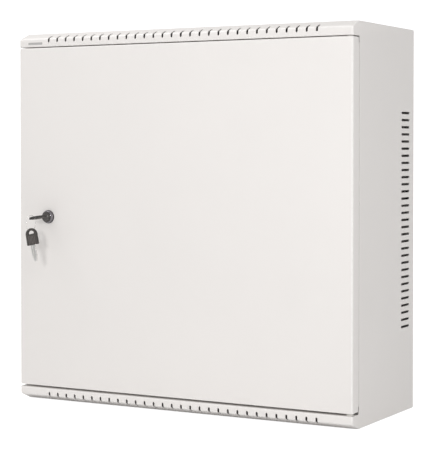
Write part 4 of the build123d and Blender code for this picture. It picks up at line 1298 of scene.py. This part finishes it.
def set_fasteners(name, source, spots, node, seed):
    """Places copies of a fastener on (place, aim) pairs and removes the source."""
    mesh = bpy.data.meshes.new(name)
    mesh.from_pydata([tuple(place) for place, aim in spots], [], [])
    aims = mesh.attributes.new("aim", "FLOAT_VECTOR", "POINT")
    for index, (place, aim) in enumerate(spots):
        aims.data[index].vector = aim
    obj = put_in_scene(name, mesh)
    add_tree(obj, "Set fasteners", {"Fastener": source, "Seed": seed, "Material": finish("zinc_steel")})
    bake_modifiers(obj)
    remove_piece(source)
    tidy_mesh(obj, 32.0)
    settle(obj, finish("zinc_steel"), "casing", "zinc_steel", node)


class CABINET_OT_fasteners(bpy.types.Operator):
    """Set the rail screws and nuts, the cover screws and the cage nuts."""
    bl_idname = "cabinet.set_fasteners"
    bl_label = "Fasteners"

    def execute(self, context):
        low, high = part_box("rail_screws")
        screw_y = (low.y + high.y) / 2
        radius = (high.y - low.y) / 2
        spot_z = high.z - radius
        rail_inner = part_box("rack_rail_right")[1].x - RAIL_SHEET
        sides = [(sign, z) for sign in (-1, 1) for z in (-spot_z, spot_z)]
        spots = [((sign * rail_inner, screw_y, z), (-sign, 0, 0)) for sign, z in sides]
        screw = pan_screw("m6_screw", radius, 3.4 * MM, 3.0 * MM, 10.0 * MM)
        set_fasteners("rail_screw_set", screw, spots, "rail_screws", 11)

        seat_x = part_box("rail_nuts")[1].x - M6_NUT_HEIGHT
        spots = [((sign * seat_x, screw_y, z), (sign, 0, 0)) for sign, z in sides]
        nut = hex_nut("m6_nut", 10.0 * MM, M6_NUT_HEIGHT, 3.02 * MM)
        set_fasteners("rail_nut_set", nut, spots, "rail_nuts", 12)

        low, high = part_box("cover_screws")
        head = 3.2 * MM
        cover_x = high.x - head
        spots = [
            ((x, y, sign * COVER_LOW.z), (0, 0, -sign))
            for sign in (-1, 1) for x in (-cover_x, cover_x) for y in (low.y + head, high.y - head)
        ]
        screw = pan_screw("cover_screw", head, 2.0 * MM, 1.7 * MM, 2.2 * MM)
        set_fasteners("cover_screw_set", screw, spots, "cover_screws", 13)

        low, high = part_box("cage_nuts")
        places = [
            (x, low.y + RAIL_SHEET, z)
            for x in (low.x + CAGE_WING, high.x - CAGE_WING) for z in (low.z + CAGE_WING, high.z - CAGE_WING)
        ]
        set_cage_nuts(caged_nut("caged_nut"), places)
        return {"FINISHED"}


def set_cage_nuts(cage, places):
    """Places the cage nuts upright, their hooks at the left and right of each square hole."""
    bm = bmesh.new()
    for place in places:
        copy = cage.data.copy()
        copy.transform(Matrix.Rotation(RIGHT_ANGLE, 4, "X"))
        copy.transform(Matrix.Translation(place))
        bm.from_mesh(copy)
        bpy.data.meshes.remove(copy)
    remove_piece(cage)
    obj = tidy_mesh(object_from_bmesh("cage_nut_set", bm), 30.0)
    settle(obj, finish("zinc_steel"), "casing", "zinc_steel", "cage_nuts")


# ================================================================== badge and frame finishes

BADGE_HALF = (12.6 * MM, 1.7 * MM)
BADGE_CORNER = 0.8 * MM
BADGE_X = -241.4 * MM
BADGE_LIFT = 5.0 * MM


class CABINET_OT_badge(bpy.types.Operator):
    """Lay the blank name badge on the upper band."""
    bl_idname = "cabinet.lay_badge"
    bl_label = "Blank badge"

    def execute(self, context):
        half_width, half_height = BADGE_HALF
        lower = rounded_base(half_width, -half_height, BADGE_CORNER, 4)
        outline = lower + [(-x, -y) for x, y in lower]
        place = (BADGE_X, FRONT_Y, TOP_EDGE_Z + BADGE_LIFT)
        badge = flat_plate("blank_badge", [outline], 0.12 * MM, 0.03 * MM,
                           plane_matrix(place, (1, 0, 0), (0, 0, 1)))
        settle(badge, finish("badge"), "casing", "bow_plastic")
        return {"FINISHED"}


class CABINET_OT_finishes(bpy.types.Operator):
    """Give every carried-over node its finish."""
    bl_idname = "cabinet.finish_nodes"
    bl_label = "Node finishes"

    def execute(self, context):
        slots = {part["node"]: part["material_slot"] for part in frame["record"]["subparts"]}
        for name, obj in frame["nodes"].items():
            material = finish(slots[name])
            if not obj.material_slots:
                obj.data.materials.append(material)
            for entry in obj.material_slots:
                entry.material = material
        return {"FINISHED"}


# ================================================================== stage

CAMERA_PLACE = (1.081, FRONT_Y - 1.822, 0.104)
CAMERA_YAW = math.radians(29.15)
CAMERA_PITCH = math.radians(1.16)
CAMERA_SENSOR = 36.0
CAMERA_LENS = 121.2293987
CAMERA_SHIFT = -0.1046770601
AIR_STRENGTH = 0.53
PAPER_GLOW = 0.75
PAPER_FRONT, PAPER_BEND, PAPER_REAR = -4.0, 1.6, 2.8
PAPER_HALF_WIDTH = 5.0
PAPER_TOP = 4.0
PAPER_BEND_STEPS = 12
FLOOR_DROP = 0.2 * MM
LIGHTS = (
    # name, place, target, size in metres, power in watts
    ("front_softbox", (0.52, -2.35, 0.42), (0.05, -0.2, 0.05), 0.32, 12.5),
    ("upper_right_softbox", (0.75, -1.35, 1.15), (0.10, -0.2, 0.05), 0.9, 3.2),
    ("right_fill", (2.60, -0.90, 0.30), (0.27, -0.1, 0.0), 1.5, 11.3),
    ("top_fill", (-0.70, -0.35, 1.30), (-0.1, -0.2, 0.2), 0.8, 7.4),
)


def area_light(name, place, target, size, power):
    """A soft square white light aimed at a point."""
    data = bpy.data.lights.new(name, "AREA")
    data.size = size
    data.energy = power
    obj = put_in_scene(name, data)
    obj.location = place
    obj.rotation_euler = (Vector(target) - Vector(place)).to_track_quat("-Z", "Y").to_euler()


class CABINET_OT_stage(bpy.types.Operator):
    """Lay the floor and backdrop, hang the lights and place the camera."""
    bl_idname = "cabinet.set_stage"
    bl_label = "Stage"

    def execute(self, context):
        self.make_floor()
        self.make_lights(context.scene)
        self.make_camera(context.scene)
        return {"FINISHED"}

    def make_floor(self):
        floor_z = -HALF_HEIGHT - FLOOR_DROP
        radius = PAPER_REAR - PAPER_BEND
        bm = bmesh.new()
        rows = [(PAPER_FRONT, 0.0), *arc((PAPER_BEND, radius), radius, -90, 0, PAPER_BEND_STEPS)]
        rows.append((PAPER_REAR, PAPER_TOP))
        lines = [
            [bm.verts.new((x, y, floor_z + rise)) for x in (-PAPER_HALF_WIDTH, PAPER_HALF_WIDTH)]
            for y, rise in rows
        ]
        for first, second in zip(lines, lines[1:]):
            bm.faces.new((first[0], first[1], second[1], second[0]))
        floor = object_from_bmesh("paper_backdrop", bm)
        for face in floor.data.polygons:
            face.use_smooth = True
        material, w, shader = start_material("white_paper")
        drift = effect(w, "Colour drift", {"Colour": (0.90, 0.90, 0.90, 1.0), "Scale": 2.0, "Amount": 0.01})
        w.link(drift.outputs["Colour"], shader.inputs["Base Color"])
        shader.inputs["Roughness"].default_value = 0.9
        shader.inputs["Emission Strength"].default_value = PAPER_GLOW
        path = w.add("ShaderNodeLightPath")
        w.link(path.outputs["Is Camera Ray"], shader.inputs["Emission Color"])
        floor.data.materials.append(material)

    def make_lights(self, scene):
        world = bpy.data.worlds.new("studio_air")
        world.use_nodes = True
        air = world.node_tree.nodes["Background"]
        air.inputs["Strength"].default_value = AIR_STRENGTH
        w = NodeWriter(world.node_tree)
        path = w.add("ShaderNodeLightPath")
        shown = w.add("ShaderNodeMapRange", {
            "Value": path.outputs["Is Camera Ray"], "To Min": 1.0, "To Max": 2.0,
        })
        w.link(shown.outputs[0], air.inputs["Color"])
        scene.world = world
        for light in LIGHTS:
            area_light(*light)
        scene.view_settings.view_transform = "Standard"

    def make_camera(self, scene):
        data = bpy.data.cameras.new("studio_camera")
        data.sensor_width = CAMERA_SENSOR
        data.lens = CAMERA_LENS
        data.shift_y = CAMERA_SHIFT
        data.clip_start = 0.05
        data.clip_end = 50.0
        camera = put_in_scene("studio_camera", data)
        camera.location = CAMERA_PLACE
        forward = Vector((
            -math.sin(CAMERA_YAW) * math.cos(CAMERA_PITCH),
            math.cos(CAMERA_YAW) * math.cos(CAMERA_PITCH),
            -math.sin(CAMERA_PITCH),
        ))
        camera.rotation_euler = forward.to_track_quat("-Z", "Y").to_euler()
        scene.camera = camera


# ================================================================== panel and registration

BUILD_STEPS = (
    CABINET_OT_finishes,
    CABINET_OT_casing,
    CABINET_OT_door,
    CABINET_OT_lock,
    CABINET_OT_keys,
    CABINET_OT_ring,
    CABINET_OT_spring,
    CABINET_OT_fasteners,
    CABINET_OT_badge,
    CABINET_OT_stage,
)


class CABINET_PT_build(bpy.types.Panel):
    """Lists the build steps and the sizes that can be changed."""
    bl_label = "Network Cabinet"
    bl_idname = "CABINET_PT_build"
    bl_space_type = "VIEW_3D"
    bl_region_type = "UI"
    bl_category = "Cabinet"

    def draw(self, context):
        layout = self.layout
        for step in BUILD_STEPS:
            layout.operator(step.bl_idname)
        for group in (context.scene.cabinet_sizes, context.scene.cabinet_colours):
            box = layout.box()
            for key in group.__annotations__:
                box.prop(group, key)


CLASSES = (CabinetSizes, CabinetColours) + BUILD_STEPS + (CABINET_PT_build,)


def register():
    for cls in CLASSES:
        bpy.utils.register_class(cls)
    bpy.types.Scene.cabinet_sizes = PointerProperty(type=CabinetSizes)
    bpy.types.Scene.cabinet_colours = PointerProperty(type=CabinetColours)


def unregister():
    del bpy.types.Scene.cabinet_colours
    del bpy.types.Scene.cabinet_sizes
    for cls in reversed(CLASSES):
        bpy.utils.unregister_class(cls)


def main():
    """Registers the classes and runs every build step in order."""
    register()
    for step in BUILD_STEPS:
        group, name = step.bl_idname.split(".")
        result = getattr(getattr(bpy.ops, group), name)()
        if "FINISHED" not in result:
            raise RuntimeError(f"{step.bl_idname} did not finish")


if __name__ == "__main__":
    main()
